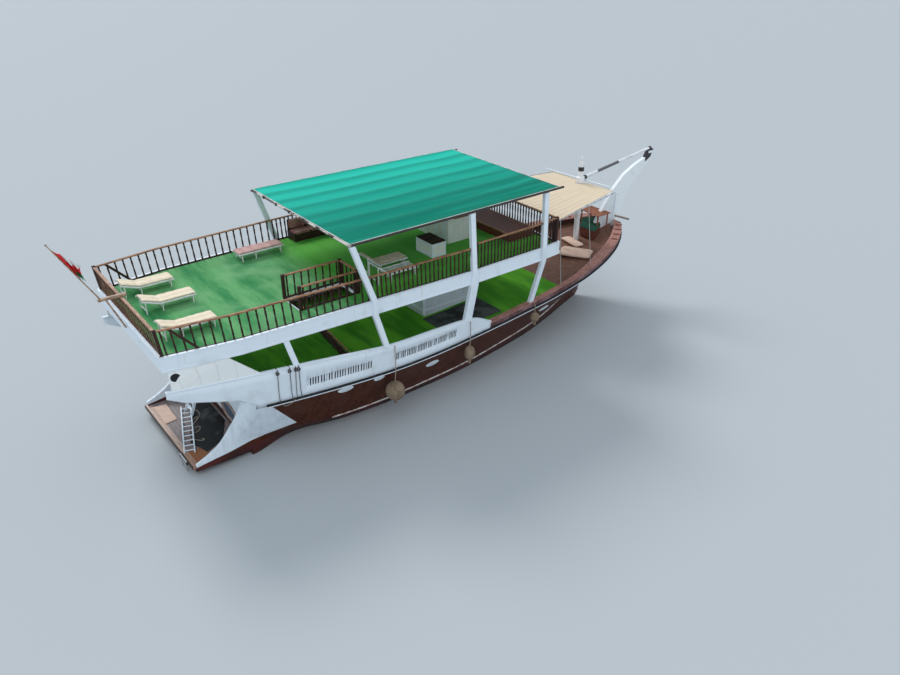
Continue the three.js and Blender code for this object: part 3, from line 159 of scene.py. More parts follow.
class Finish:
    """A material being written: place is the Object coordinates, and x, y and z their parts."""

    def __init__(self, name, **constants):
        self.material = bpy.data.materials.new(name)
        self.material.use_nodes = True
        tree = self.material.node_tree
        self.shader = tree.nodes["Principled BSDF"]
        for key, value in constants.items():
            self.shader.inputs[key.replace("_", " ")].default_value = value
        self.place = Value(tree.nodes.new("ShaderNodeTexCoord").outputs["Object"])
        parts = self.place.node("ShaderNodeSeparateXYZ", None, {0: self.place}).socket.node
        self.x, self.y, self.z = (Value(parts.outputs[k]) for k in range(3))

    def attribute(self, name):
        """One of the mesh's own point attributes, as a Value."""
        return self.place.node("ShaderNodeAttribute", {"attribute_name": name}, None, "Fac")

    def done(self, colour, roughness, height=None, depth=0.002):
        """Links the colour and roughness, and height times depth metres as relief."""
        tree = self.material.node_tree
        tree.links.new(colour.socket, self.shader.inputs["Base Color"])
        tree.links.new(roughness.socket, self.shader.inputs["Roughness"])
        if height is not None:
            bump = self.place.node("ShaderNodeBump", None, {"Height": height, "Distance": depth})
            tree.links.new(bump.socket, self.shader.inputs["Normal"])
        return self.material


def surface(points, loop=False):
    """Quads over a grid points[row, column]. loop joins the last column to the first."""
    rows, columns = points.shape[:2]
    index = np.arange(rows * columns).reshape(rows, columns)
    if loop:
        index = np.concatenate([index, index[:, :1]], axis=1)
    quads = np.stack([index[:-1, :-1], index[1:, :-1], index[1:, 1:], index[:-1, 1:]], axis=-1)
    return points.reshape(-1, 3), quads.reshape(-1, 4)


def closed(points):
    """A grid of rings made one closed shell: strips of quads across the first and last ring.
    Its faces are turned outward by the sign of the volume that they enclose."""
    rows, count = points.shape[:2]
    shape, quads = surface(points, loop=True)
    step = np.arange(count // 2 - 1)
    strip = np.stack([step, step + 1, count - 2 - step, count - 1 - step], axis=1)
    quads = np.concatenate([quads, strip, strip[:, ::-1] + (rows - 1) * count])
    a, b, c, d = (shape[quads[:, k]] for k in range(4))
    volume = (np.cross(a, b) * c).sum() + (np.cross(a, c) * d).sum()
    return shape, quads if volume > 0 else quads[:, ::-1]


def piece(name, bits, material, stands_for=(), body="boat", sharp=35.0, values=None):
    """One mesh of all the bits, each a pair of points and quads, riding on a body of the frame.
    Edges sharper than the angle stay hard. values are point attributes, name to array."""
    starts = np.cumsum([0] + [len(points) for points, _ in bits[:-1]])
    points = np.concatenate([points for points, _ in bits])
    quads = np.concatenate([faces + start for (_, faces), start in zip(bits, starts)])
    mesh = bpy.data.meshes.new(name)
    mesh.from_pydata(points.tolist(), [], quads.tolist())
    mesh.materials.append(material)
    for key, array in (values or {}).items():
        mesh.attributes.new(key, "FLOAT", "POINT").data.foreach_set("value", np.asarray(array, np.float32))
    mesh.shade_smooth()
    mesh.set_sharp_from_angle(angle=np.radians(sharp))
    made = bpy.data.objects.new(name, mesh)
    bpy.context.scene.collection.objects.link(made)
    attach(made, body)
    if stands_for:
        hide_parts(*stands_for)
    return made


def paint_nodes(material, *nodes):
    """Gives nodes of the frame this material in place of their own."""
    for node in nodes:
        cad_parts[node].data.materials[0] = material


def smooth(x, knots, values):
    """Cubic Hermite curve through the knots, with each knot's slope from its neighbours."""
    knots, values = np.asarray(knots, float), np.asarray(values, float)
    x = np.clip(x, knots[0], knots[-1])
    slopes = np.gradient(values, knots)
    k = np.clip(np.searchsorted(knots, x, side="right") - 1, 0, len(knots) - 2)
    long = knots[k + 1] - knots[k]
    t = (x - knots[k]) / long
    bend = t * t * (3 - 2 * t)
    ends = t * (1 - t) ** 2 * slopes[k] - t * t * (1 - t) * slopes[k + 1]
    return values[k] * (1 - bend) + values[k + 1] * bend + ends * long


stations = np.array([
    # x, half breadth at the sheer and at the rub strake, bottom, how full the bottom is
    (-10.10, 3.27, 2.40, -0.25, 0.95), (-8.50, 3.42, 2.52, -1.00, 0.80), (-7.00, 3.54, 2.74, -1.30, 0.62),
    (-5.20, 3.65, 2.80, -1.45, 0.50), (-3.00, 3.63, 2.71, -1.52, 0.46), (-1.00, 3.50, 2.60, -1.56, 0.46),
    (1.30, 3.36, 2.31, -1.58, 0.52), (3.80, 3.19, 1.90, -1.54, 0.66), (6.00, 2.87, 1.20, -1.33, 0.88),
    (7.50, 2.43, 0.62, -0.464, 1.00), (8.70, 1.87, 0.42, 1.128, 1.00), (9.60, 1.22, 0.33, 2.322, 1.00),
    (10.25, 0.52, 0.19, 3.185, 1.00)])
transom_x, bow_x, keel_half = -10.10, 10.25, 0.09
deck_drop, rub_drop = 0.10, 1.77
sheer_low, sheer_low_x, sheer_curve = 2.22, -4.0, 0.0058
arm_half, arm_long, arm_inset = 3.27, 2.7, 0.32


def station(x, column):
    """One column of the stations at x, as a smooth curve."""
    return smooth(x, stations[:, 0], stations[:, column])


def sheer_z(x):
    """Height of the sheer: a parabola with its low point a little aft of amidships."""
    return sheer_low + sheer_curve * (np.maximum(x, transom_x) - sheer_low_x) ** 2


def sheer_half(x):
    """Half breadth at the sheer, drawn in again along the arms that run out past the transom."""
    return np.where(x < transom_x, arm_half + (x - transom_x) * arm_inset / arm_long, station(x, 1))


def knee_z(x):
    """Height of the turn between the bottom and the topsides, at the rub strake."""
    bottom = station(x, 3)
    deck = sheer_z(x) - deck_drop
    return np.maximum(sheer_z(x) - rub_drop, bottom + 0.25 * (deck - bottom))


def planking(x, z):
    """Half breadth of the topsides at height z: straight between the rub strake and the deck edge."""
    knee = knee_z(x)
    share = (z - knee) / (sheer_z(x) - deck_drop - knee)
    rub = station(x, 2)
    return rub + (sheer_half(x) - rub) * share


along = np.linspace(transom_x, bow_x, 150)
bottom_share = np.linspace(0, 1, 18)[:, None]
side_share = np.linspace(0, 1, 12)[1:, None]
bottom_z = station(along, 3)
rub_half = station(along, 2)
full = station(along, 4)
low_y = keel_half + (rub_half - keel_half) * bottom_share ** full
low_z = bottom_z + (knee_z(along) - bottom_z) * bottom_share
high_y = rub_half + (sheer_half(along) - rub_half) * side_share
high_z = knee_z(along) + (sheer_z(along) - deck_drop - knee_z(along)) * side_share
half_y, half_z = np.concatenate([low_y, high_y]).T, np.concatenate([low_z, high_z]).T
ring_y = np.concatenate([-half_y[:, ::-1], half_y], axis=1)
ring_z = np.concatenate([half_z[:, ::-1], half_z], axis=1)
ring_x = np.broadcast_to(along[:, None], ring_y.shape)
plank_number = np.concatenate([np.arange(29)[::-1], np.arange(29)]) * 0.62

quarter_x, platform_z = -12.10, 0.28
upright_half, least_half = 2.45, 2.41
stern_x = np.linspace(quarter_x, transom_x + 0.05, 16)
aft_share = np.linspace(0, 1, 16)


def quarter_half(x, z):
    """Half breadth of the white quarter: the hull's own side at the transom, or least_half where
    that is less, easing over 1 m into an upright board at upright_half."""
    ease = np.clip((transom_x - x) / 1.0, 0, 1)
    ease = ease * ease * (3 - 2 * ease)
    own = np.maximum(planking(np.full_like(x, transom_x + 0.01), z), least_half)
    return own * (1 - ease) + upright_half * ease


def bottom_half(x, z):
    """Half breadth of the bottom planking at height z: a power of the share of the way up to the
    rub strake."""
    low, knee = station(x, 3), knee_z(x)
    share = np.clip((z - low) / (knee - low), 0, 1)
    return keel_half + (station(x, 2) - keel_half) * share ** station(x, 4)


stern_bottom = -0.06 - 0.185 * aft_share
stern_share = np.linspace(0, 1, 14)[:, None]
stern_z = stern_bottom + (platform_z - stern_bottom) * stern_share
stern_top = quarter_half(stern_x, np.full_like(stern_x, platform_z))
stern_fill = np.minimum(1, stern_share * 1.6) ** 0.5 * (0.9 + 0.1 * stern_share)
stern_y = keel_half + (stern_top - keel_half) * stern_fill
stern_y, stern_z = stern_y.T, stern_z.T
stern_rings = np.stack([np.broadcast_to(stern_x[:, None], (16, 28)),
                        np.concatenate([-stern_y[:, ::-1], stern_y], axis=1),
                        np.concatenate([stern_z[:, ::-1], stern_z], axis=1)], axis=-1)

finish = Finish("hull_paint", Specular_IOR_Level=0.1)
grime = finish.place.noise(0.9, 5)
streaks = finish.place.noise(1.0, 4, 0.6, (5, 5, 0.35))
brown = streaks.ramp(0.35, 0.75).mix((0.055, 0.013, 0.006), (0.105, 0.032, 0.017))
brown = grime.ramp(0.45, 0.75).mix(brown, (0.080, 0.030, 0.019))
red_bottom = grime.ramp(0.3, 0.7).mix((0.10, 0.024, 0.022), (0.045, 0.02, 0.018))
white = streaks.ramp(0.4, 0.8).mix((0.74, 0.82, 0.89), (0.60, 0.67, 0.72))
quarter_edge = (finish.x + (finish.z - 2.55) * 0.767 + (grime - 0.5) * 0.04 < -9.82)
above_boot = (finish.z - (finish.x + 12.17) * 0.1135 + (grime - 0.5) * 0.04 > 0.37)
above_rub = (finish.z - sheer_z(-6.0) + 1.80 > 0)
quarter = quarter_edge * above_boot
seam = finish.attribute("plank").wrap(1.0).ramp(0.9, 0.985) * (1 - quarter)
paint = quarter.mix((1 - above_rub).mix(brown, red_bottom), white)
paint = (seam * 0.6).mix(paint, (0.012, 0.006, 0.005))
waterline = finish.z.ramp(0.16, 0.02) * finish.z.ramp(-0.4, -0.1) * grime.ramp(0.35, 0.6)
paint = (waterline * 0.8).mix(paint, (0.03, 0.04, 0.03))
from_low = finish.x - sheer_low_x
over_deck = finish.z - from_low * from_low * sheer_curve - (sheer_low - deck_drop)
on_deck = (over_deck > -0.004) * (finish.x > transom_x - 0.02)
deck_seam = finish.y.wrap(0.115).ramp(0.93, 0.98)
deck_grain = finish.place.noise(3, 6, 0.65, (1, 10, 10)).ramp(0.3, 0.7)
deck_wood = deck_grain.mix((0.12, 0.05, 0.035), (0.26, 0.14, 0.10))
paint = on_deck.mix(paint, deck_seam.mix(deck_wood, (0.03, 0.02, 0.015)))
hull_paint = finish.done(paint, streaks * 0.2 + 0.35, finish.place.noise(14, 3) * 0.5 - seam, 0.006)

rings = np.stack([ring_x, ring_y, ring_z], axis=-1)
fair_aft, fair_fore = -10.12, -7.4
fair_x, fair_z = np.meshgrid(np.linspace(fair_aft, fair_fore, 40), np.linspace(-0.24, 0.90, 12),
                             indexing="ij")
fair_own = np.where(fair_z < knee_z(fair_x), bottom_half(fair_x, fair_z), planking(fair_x, fair_z))
fair_end = 0.5 + 0.5 * np.cos(np.pi * (fair_x - fair_aft) / (fair_fore - fair_aft))
fair_gap = np.maximum(0, quarter_half(np.full_like(fair_x, transom_x), fair_z) - fair_own)
fair_y = fair_own + fair_gap * fair_end + 0.003
fair_rings = [np.stack([np.concatenate([fair_x, fair_x], axis=1),
                        side * np.concatenate([fair_y, fair_own[:, ::-1] - 0.05], axis=1),
                        np.concatenate([fair_z, fair_z[:, ::-1]], axis=1)], axis=-1) for side in (-1, 1)]
hull_bits = [closed(rings), closed(stern_rings)] + [closed(fair) for fair in fair_rings]
plain_points = (stern_rings.size + 2 * fair_rings[0].size) // 3
plank_values = np.concatenate([np.tile(plank_number, len(along)), np.full(plain_points, 0.5)])
piece("hull_planking", hull_bits, hull_paint, ["hull"], values={"plank": plank_values})
paint_nodes(hull_paint, "keel", "rudder")


# Rub strake: a half-round timber along the planking above the water, painted off-white and
# scuffed, with oval doubling plates bolted on under the sheer where fenders and lines chafe.
def sweep(path, outline, scale=1.0, up=(0, 0, 1)):
    """A closed bar: the outline's points (aside, upward) carried along the path, square to it,
    and scaled at each point."""
    path = np.asarray(path, float)
    run = np.gradient(path, axis=0)
    run /= np.linalg.norm(run, axis=1, keepdims=True)
    aside = np.cross(run, up)
    aside /= np.linalg.norm(aside, axis=1, keepdims=True)
    upward = np.cross(aside, run)
    size = np.broadcast_to(scale, len(path))[:, None, None]
    offset = outline[:, :1] * aside[:, None] + outline[:, 1:] * upward[:, None]
    return closed(path[:, None] + offset * size)


def circle(radius, sides=8):
    """A round outline with an even number of sides."""
    turn = (np.arange(sides) + 0.5) * 2 * np.pi / sides
    return radius * np.stack([np.cos(turn), np.sin(turn)], axis=1)


def oblong(width, height, round_off=0.0):
    """A rectangular outline, its corners cut by round_off."""
    w, t, r = width / 2, height / 2, round_off
    if r == 0:
        return np.array([(-w, -t), (w, -t), (w, t), (-w, t)])
    return np.array([(-w + r, -t), (w - r, -t), (w, -t + r), (w, t - r),
                     (w - r, t), (-w + r, t), (-w, t - r), (-w, -t + r)])


finish = Finish("white_paint", Coat_Weight=0.1, Coat_Roughness=0.3)
dirt = finish.place.noise(1.6, 5)
runs = finish.place.noise(1.0, 4, 0.6, (7, 7, 0.5))
white_colour = dirt.ramp(0.5, 0.8).mix((0.76, 0.84, 0.91), (0.64, 0.70, 0.74))
white_colour = (runs.ramp(0.6, 0.8) * 0.4).mix(white_colour, (0.55, 0.52, 0.46))
white_paint = finish.done(white_colour, dirt * 0.25 + 0.35,
                          finish.place.noise(22, 2) + finish.place.noise(3, 2) * 2, 0.003)

rub_x = np.linspace(-7.12, 8.3, 110)
rub_outline = oblong(0.08, 0.055, 0.02)
rub_bits = []
for side in (-1, 1):
    z = sheer_z(rub_x) - rub_drop
    rub_bits.append(sweep(np.stack([rub_x, side * (planking(rub_x, z) + 0.01), z], axis=1), rub_outline))


def weathered(name, scale, detail, edges, colours, gloss, depth, **constants):
    """A plain finish under one cloudy wear: it mixes the two colours between its edges, sets the
    roughness to gloss[0] times the wear plus gloss[1], and lies in relief by depth metres."""
    finish = Finish(name, **constants)
    wear = finish.place.noise(scale, detail)
    return finish.done(wear.ramp(*edges).mix(*colours), wear * gloss[0] + gloss[1], wear, depth)


rub_paint = weathered("rub_strake", 5, 5, (0.45, 0.65), ((0.66, 0.62, 0.60), (0.36, 0.25, 0.22)), (0.3, 0.4),
                      0.004, Coat_Weight=0.05)
piece("rub_strakes", rub_bits, rub_paint)

plate_turn = (np.arange(24) + 0.5) * 2 * np.pi / 24
plate_bits = []
for side in (-1, 1):
    for plate_x, plate_z, plate_half in ((-6.88, 1.97, 0.29), (-5.56, 2.00, 0.21), (-3.05, 1.60, 0.30),
                                         (3.2, 1.82, 0.30)):
        rings = []
        for out, grow in ((-0.03, 1.0), (0.035, 1.0), (0.045, 0.92)):
            px = plate_x + plate_half * grow * np.cos(plate_turn)
            pz = plate_z + 0.13 * grow * np.sin(plate_turn)
            rings.append(np.stack([px, side * (planking(px, pz) + out), pz], axis=1))
        plate_bits.append(closed(np.array(rings)))
piece("chafe_plates", plate_bits, white_paint)


# Propeller: a four-bladed bronze screw on its shaft, cast in one.
# It turns in the opening of the deadwood, dulled by the sea.
bronze = weathered("bronze", 9, 5, (0.4, 0.7), ((0.42, 0.26, 0.09), (0.12, 0.13, 0.08)), (0.4, 0.25), 0.002,
                   Metallic=0.9)
paint_nodes(bronze, "propeller")


# Quarter wings: the white boarding that carries the quarters aft past the transom and sweeps
# down in a hollow curve to the platform. Boards on frames, painted over, dark red along the foot.
wing_knots = np.array([(-12.10, 0.47), (-11.62, 0.68), (-11.14, 1.00), (-10.84, 1.40), (-10.63, 1.92),
                       (-10.47, 2.70)])
arm_knots = np.array([(-12.80, 3.70), (-12.29, 3.40), (-11.24, 3.06), (-10.56, 2.86), (-10.10, 2.45)])
wing_x = np.linspace(quarter_x, transom_x, 64)
wing_top = np.minimum(smooth(wing_x, wing_knots[:, 0], wing_knots[:, 1]),
                      np.interp(wing_x, arm_knots[:, 0], arm_knots[:, 1]) + 0.03)
wing_low, wing_thick = 0.24, 0.11
sides = (("stbd", -1), ("port", 1))
rise = np.linspace(0, 1, 12)
for name, side in sides:
    outer_z = wing_low + (wing_top[:, None] - wing_low) * rise
    wing_grid_x = np.broadcast_to(wing_x[:, None], outer_z.shape)
    outer_y = quarter_half(wing_grid_x, outer_z) + 0.004
    inner = np.stack([wing_grid_x, side * (outer_y - wing_thick), outer_z], axis=-1)[:, ::-1]
    outer = np.stack([wing_grid_x, side * outer_y, outer_z], axis=-1)
    piece(f"quarter_{name}", [closed(np.concatenate([outer, inner], axis=1))], hull_paint,
          [f"quarter_wing_{name}"], values={"plank": np.full(2 * outer_z.size, 0.5)})

# Transom: flat boards across the stern between the wings, with an oval hatch to the lazarette
# in a varnished ring, and a plank moulding over it.
hatch_y, hatch_z, hatch_wide, hatch_high = -0.69, 0.90, 0.66, 0.36
hatch_turn = (np.arange(32) + 0.5) * 2 * np.pi / 32


def hatch_ovals(levels):
    """A closed shell through ovals round the hatch, each so far from the transom and of such a size."""
    return closed(np.stack([np.stack([np.full(32, transom_x + depth),
                                      hatch_y + hatch_wide * grow * np.cos(hatch_turn),
                                      hatch_z + hatch_high * grow * np.sin(hatch_turn)], axis=1)
                            for depth, grow in levels]))


def wood(name, dark, light, grain=(1, 9, 9), rough=0.45, coat=0.05):
    """Wood whose grain runs along the axis that is stretched least, with darker pores."""
    finish = Finish(name, Specular_IOR_Level=0.25, Coat_Weight=coat, Coat_Roughness=0.3)
    fibre = finish.place.noise(4.0, 6, 0.65, grain)
    patch = finish.place.noise(0.8, 3)
    colour = fibre.ramp(0.35, 0.7).mix(dark, light)
    colour = (patch.ramp(0.45, 0.7) * 0.5).mix(colour, tuple(0.6 * c for c in dark))
    return finish.done(colour, fibre * 0.3 + rough - 0.1, fibre, 0.003)


varnished = wood("varnished_wood", (0.30, 0.13, 0.05), (0.52, 0.27, 0.12), rough=0.35, coat=0.4)
ring_wood = wood("ring_wood", (0.28, 0.20, 0.17), (0.50, 0.40, 0.34), rough=0.5)
hatch_ring = hatch_ovals(((0.02, 1.0), (-0.06, 1.0), (-0.07, 0.9), (-0.05, 0.78), (0.0, 0.76)))
piece("transom_hatch_ring", [hatch_ring], ring_wood)
finish = Finish("dark_glass", Coat_Weight=0.5)
smear = finish.place.noise(4, 3)
dark_glass = finish.done(smear.mix((0.09, 0.12, 0.17), (0.16, 0.2, 0.27)), smear * 0.1 + 0.08)
piece("transom_hatch_pane", [hatch_ovals(((-0.02, 0.79), (-0.025, 0.4)))], dark_glass)


# Sheer strake: a black-painted wale along the deck edge, with a narrow white line under it.
# Both are planks spiked over the hull planking.
black_paint = weathered("black_paint", 7, 5, (0.6, 0.75), ((0.012, 0.013, 0.016), (0.075, 0.06, 0.055)),
                        (0.3, 0.3), 0.003, Specular_IOR_Level=0.25)
strake_x = np.linspace(-9.76, 9.99, 140)
wale_outline, line_outline = oblong(0.08, 0.08, 0.018), oblong(0.075, 0.04, 0.012)
for name, side in sides:
    wale_y = planking(strake_x, sheer_z(strake_x) - deck_drop)
    wale = np.stack([strake_x, side * (wale_y + 0.012), sheer_z(strake_x) - 0.066], axis=1)
    line = np.stack([strake_x, side * (wale_y + 0.002), sheer_z(strake_x) - 0.127], axis=1)
    piece(f"sheer_wale_{name}", [sweep(wale, wale_outline)], black_paint,
          [f"sheer_strake_{name}"])
    piece(f"sheer_line_{name}", [sweep(line, line_outline)], white_paint,
          [f"sheer_strake_{name}"])

# Bulwarks: white boarding from the deck edge up to a capping rail, run out aft as long arms
# over the platform. Groups of upright slots are sawn through it, and it is nailed to ribs inside.
bulwark_knots = np.array([(-12.80, 3.92), (-10.30, 3.72), (-8.90, 3.62), (-6.60, 3.40), (-5.30, 3.27),
                          (-3.00, 3.20), (-1.90, 3.12), (-1.15, 2.98), (-0.30, 2.56)])
slot_wide, slot_low, slot_high = 0.05, 0.33, 0.64
# each group's first slot, its count and its pitch
slot_groups = [(-8.33 + 0.5 * n, 5, 0.095) for n in range(5)]
slot_groups += [(-4.90 + 0.47 * n, 6, 0.072) for n in range(6)]
slots = np.concatenate([start + pitch * np.arange(count) for start, count, pitch in slot_groups])
bulwark_thick = 0.03


def bulwark_top(x):
    """Height of the bulwark's top edge."""
    return smooth(x, bulwark_knots[:, 0], bulwark_knots[:, 1])


def bulwark_out(x, z):
    """Half breadth of the bulwark's outer face, which leans outward from the deck edge."""
    return sheer_half(x) + 0.14 * np.maximum(0, z - sheer_z(x) + deck_drop) - 0.004


bulwark_x = np.unique(np.concatenate([np.linspace(-12.8, -0.3, 120), slots, slots + slot_wide]))
bulwark_x = bulwark_x[np.append(True, np.diff(bulwark_x) > 1e-4)]
arm_low = np.interp(bulwark_x, arm_knots[:, 0], arm_knots[:, 1])
foot = np.where(bulwark_x < transom_x, arm_low, sheer_z(bulwark_x) - deck_drop + 0.002)
head = bulwark_top(bulwark_x)
row_low = np.maximum(foot + 0.04, np.minimum(sheer_z(bulwark_x) + slot_low, head - 0.10))
row_high = np.maximum(row_low + 0.02, np.minimum(sheer_z(bulwark_x) + slot_high, head - 0.04))
bulwark_z = np.stack([foot, (foot + row_low) / 2, row_low, row_high, (row_high + head) / 2, head], axis=1)
middle = (bulwark_x[:-1] + bulwark_x[1:]) / 2
sawn = ((middle[:, None] > slots) & (middle[:, None] < slots + slot_wide)).any(axis=1)
kept = np.ones((len(middle), 5), bool)
kept[sawn, 2] = False
rib_x = np.arange(-11.9, -0.6, 0.72)
for name, side in sides:
    grid_x = np.broadcast_to(bulwark_x[:, None], bulwark_z.shape)
    points, quads = surface(np.stack([grid_x, side * bulwark_out(grid_x, bulwark_z), bulwark_z], axis=-1))
    quads = quads[kept.reshape(-1)]
    boards = piece(f"bulwark_boards_{name}", [(points, quads if side < 0 else quads[:, ::-1])], white_paint,
                   [f"bulwark_{name}"])
    thick = boards.modifiers.new("thickness", "SOLIDIFY")
    thick.thickness = bulwark_thick
    thick.offset = -1
    cap_z = bulwark_top(bulwark_x) + 0.018
    cap_y = side * (bulwark_out(bulwark_x, cap_z) - 0.045)
    cap = sweep(np.stack([bulwark_x, cap_y, cap_z], axis=1), oblong(0.125, 0.045, 0.014))
    rib_low = np.where(rib_x < transom_x, np.interp(rib_x, arm_knots[:, 0], arm_knots[:, 1]),
                       sheer_z(rib_x) - 0.08)
    rib_bits = []
    for x, low, high in zip(rib_x, rib_low + 0.03, bulwark_top(rib_x) - 0.01):
        ends = [(x, side * (float(bulwark_out(x, z)) - bulwark_thick - 0.035), z) for z in (low, high)]
        rib_bits.append(sweep(ends, oblong(0.07, 0.075), up=(1, 0, 0)))
    piece(f"bulwark_cap_{name}", [cap] + rib_bits, white_paint)

# Lashings: four dark lines made fast round the bulwark's cap and led down to the wale, where
# spare ends are seized in small hanks.
finish = Finish("dark_line")
lay = (finish.x + finish.z * 0.6 + finish.y).wrap(0.02)
dark_rope = finish.done(lay.mix((0.03, 0.03, 0.03), (0.10, 0.09, 0.08)), lay * 0.2 + 0.7, lay, 0.003)
line_bits = []
for x, slip in ((-9.36, 0.05), (-8.95, 0.09), (-8.74, 0.02), (-8.64, 0.10)):
    top, low = float(bulwark_top(x)) + 0.05, float(sheer_z(x)) - 0.10
    out_top, out_low = float(bulwark_out(x, top)), float(sheer_half(x))
    path = [(x, -(out_top - 0.13), top - 0.35), (x, -(out_top - 0.12), top - 0.02),
            (x, -(out_top - 0.04), top + 0.01), (x + slip * 0.2, -(out_top + 0.02), top - 0.03),
            (x + slip * 0.6, -(out_low + 0.09), low + 0.35), (x + slip, -(out_low + 0.075), low)]
    line_bits.append(sweep(path, circle(0.012, 6), up=(1, 0, 0)))
    hank = np.linspace(0, 4 * np.pi, 40)
    coil = np.stack([x - 0.03 + 0.04 * np.cos(hank) + 0.004 * hank, np.full(40, -(out_top + 0.035)),
                     top - 0.14 + 0.07 * np.sin(hank)], axis=1)
    line_bits.append(sweep(coil, circle(0.011, 6), up=(0, 1, 0)))
piece("lashings", line_bits, dark_rope)


# Fore gunwale: a broad timber wall round the fore deck in dull red-brown, stained and worn,
# with a pinkish capping board, and short blocks across it near the bow.
finish = Finish("gunwale_paint")
stain = finish.place.noise(1.3, 6, 0.65)
streak = finish.place.noise(2.5, 4, 0.6, (1, 3, 3))
gunwale_colour = stain.ramp(0.38, 0.62).mix((0.085, 0.03, 0.03), (0.24, 0.14, 0.15))
gunwale_colour = (streak.ramp(0.55, 0.7) * 0.7).mix(gunwale_colour, (0.03, 0.02, 0.02))
gunwale_paint = finish.done(gunwale_colour, stain * 0.3 + 0.45, streak, 0.004)
cap_wood = wood("cap_wood", (0.24, 0.095, 0.075), (0.52, 0.27, 0.22), grain=(1, 6, 6), rough=0.5)
gunwale_x = np.linspace(-0.3, 10.0, 90)
gunwale_low, gunwale_high = sheer_z(gunwale_x) - deck_drop + 0.002, sheer_z(gunwale_x) + 0.17
gunwale_outer = sheer_half(gunwale_x) - 0.004
gunwale_inner = np.maximum(0.095, gunwale_outer - 0.226)
cap_inner = np.maximum(0.095, gunwale_inner - 0.26 * np.clip((gunwale_x - 4.5) / 2.5, 0, 1))
for name, side in sides:
    rings = np.stack([np.stack([gunwale_x, side * y, z], axis=1)
                      for y, z in ((gunwale_outer, gunwale_low), (gunwale_outer + 0.01, gunwale_high),
                                   (gunwale_inner + 0.05, gunwale_high),
                                   (gunwale_inner + 0.06, gunwale_low))], axis=1)
    piece(f"gunwale_wall_{name}", [closed(rings)], gunwale_paint, [f"fore_gunwale_{name}"])
    rings = np.stack([np.stack([gunwale_x, side * y, gunwale_high + z], axis=1)
                      for y, z in ((gunwale_outer + 0.03, 0.0), (gunwale_outer + 0.03, 0.035),
                                   (cap_inner, 0.035), (cap_inner, 0.0))], axis=1)
    piece(f"gunwale_cap_{name}", [closed(rings)], cap_wood, [f"fore_gunwale_{name}"])


def repeat(bit, places, turns=0.0, sizes=1.0):
    """Copies of one bit as arrays: each sized, turned about z by its degrees and set at its place."""
    points, quads = bit
    places = np.asarray(places, float).reshape(-1, 3)
    angle = np.radians(np.broadcast_to(turns, len(places)))[:, None]
    shaped = points * np.broadcast_to(sizes, (len(places), 3))[:, None]
    moved = np.stack([np.cos(angle) * shaped[..., 0] - np.sin(angle) * shaped[..., 1],
                      np.sin(angle) * shaped[..., 0] + np.cos(angle) * shaped[..., 1], shaped[..., 2]],
                     axis=-1)
    quads = quads + np.arange(len(places))[:, None, None] * len(points)
    return (moved + places[:, None]).reshape(-1, 3), quads.reshape(-1, 4)


def turned(plan, profile, centre=(0, 0)):
    """A closed shell of the plan at each height of the profile, scaled by the size given with it."""
    return closed(np.stack([np.column_stack([plan * size + centre, np.full(len(plan), z)])
                            for z, size in profile]))


plan_square = np.array([(-0.5, -0.5), (0.5, -0.5), (0.5, 0.5), (-0.5, 0.5)])
cube = turned(plan_square, ((-0.5, 1), (0.5, 1)))


def boxes(places, size, turns=0.0):
    """Boxes of one size along x, y and z about the places, turned about z by their degrees."""
    return repeat(cube, places, turns, size)


block_x = np.array([8.55, 8.95, 9.35, 9.7])
block_bits = []
for side in (-1, 1):
    block_y = side * (sheer_half(block_x) - 0.16)
    lean = np.degrees(np.arctan2(np.gradient(block_y), np.gradient(block_x)))
    place = np.stack([block_x, block_y, sheer_z(block_x) + 0.235], axis=1)
    block_bits.append(boxes(place, (0.07, 0.30, 0.06), lean))
piece("bow_blocks", block_bits, cap_wood)

# Stem: the broad white blade on the centreline, its head black with a white ring, and the white
# pole that stands behind it on the bow with a short timber through its foot.
finish = Finish("stem_paint", Coat_Weight=0.1)
scuff = finish.place.noise(3, 5)
head_ring = (finish.z > 6.30) * (finish.z < 6.41) * (finish.x > 12.38)
head_black = (finish.z - finish.x * 0.55 > -0.79) * (finish.x > 12.18) * (1 - head_ring)
stem_colour = scuff.ramp(0.55, 0.85).mix((0.80, 0.84, 0.86), (0.68, 0.69, 0.68))
below = (finish.z < 0.35).mix(stem_colour, (0.13, 0.05, 0.045))
stem_paint = finish.done(head_black.mix(below, (0.015, 0.015, 0.017)), scuff * 0.3 + 0.35, scuff, 0.004)
paint_nodes(stem_paint, "stem_blade")
pole = sweep([(9.98, -0.3, 3.2), (10.0, -0.3, 3.4), (10.05, -0.3, 4.2), (10.09, -0.3, 4.88)],
             circle(0.055, 12), up=(1, 0, 0))
collar = sweep([(10.0, -0.3, 3.42), (10.006, -0.3, 3.52)], circle(0.085, 12), up=(1, 0, 0))
piece("bow_pole", [pole, collar], white_paint)
timber = sweep([(10.35, 0.15, 3.58), (10.45, -0.32, 3.58), (10.5, -0.88, 3.6)], circle(0.05, 10))
piece("bow_timber", [timber], ring_wood)

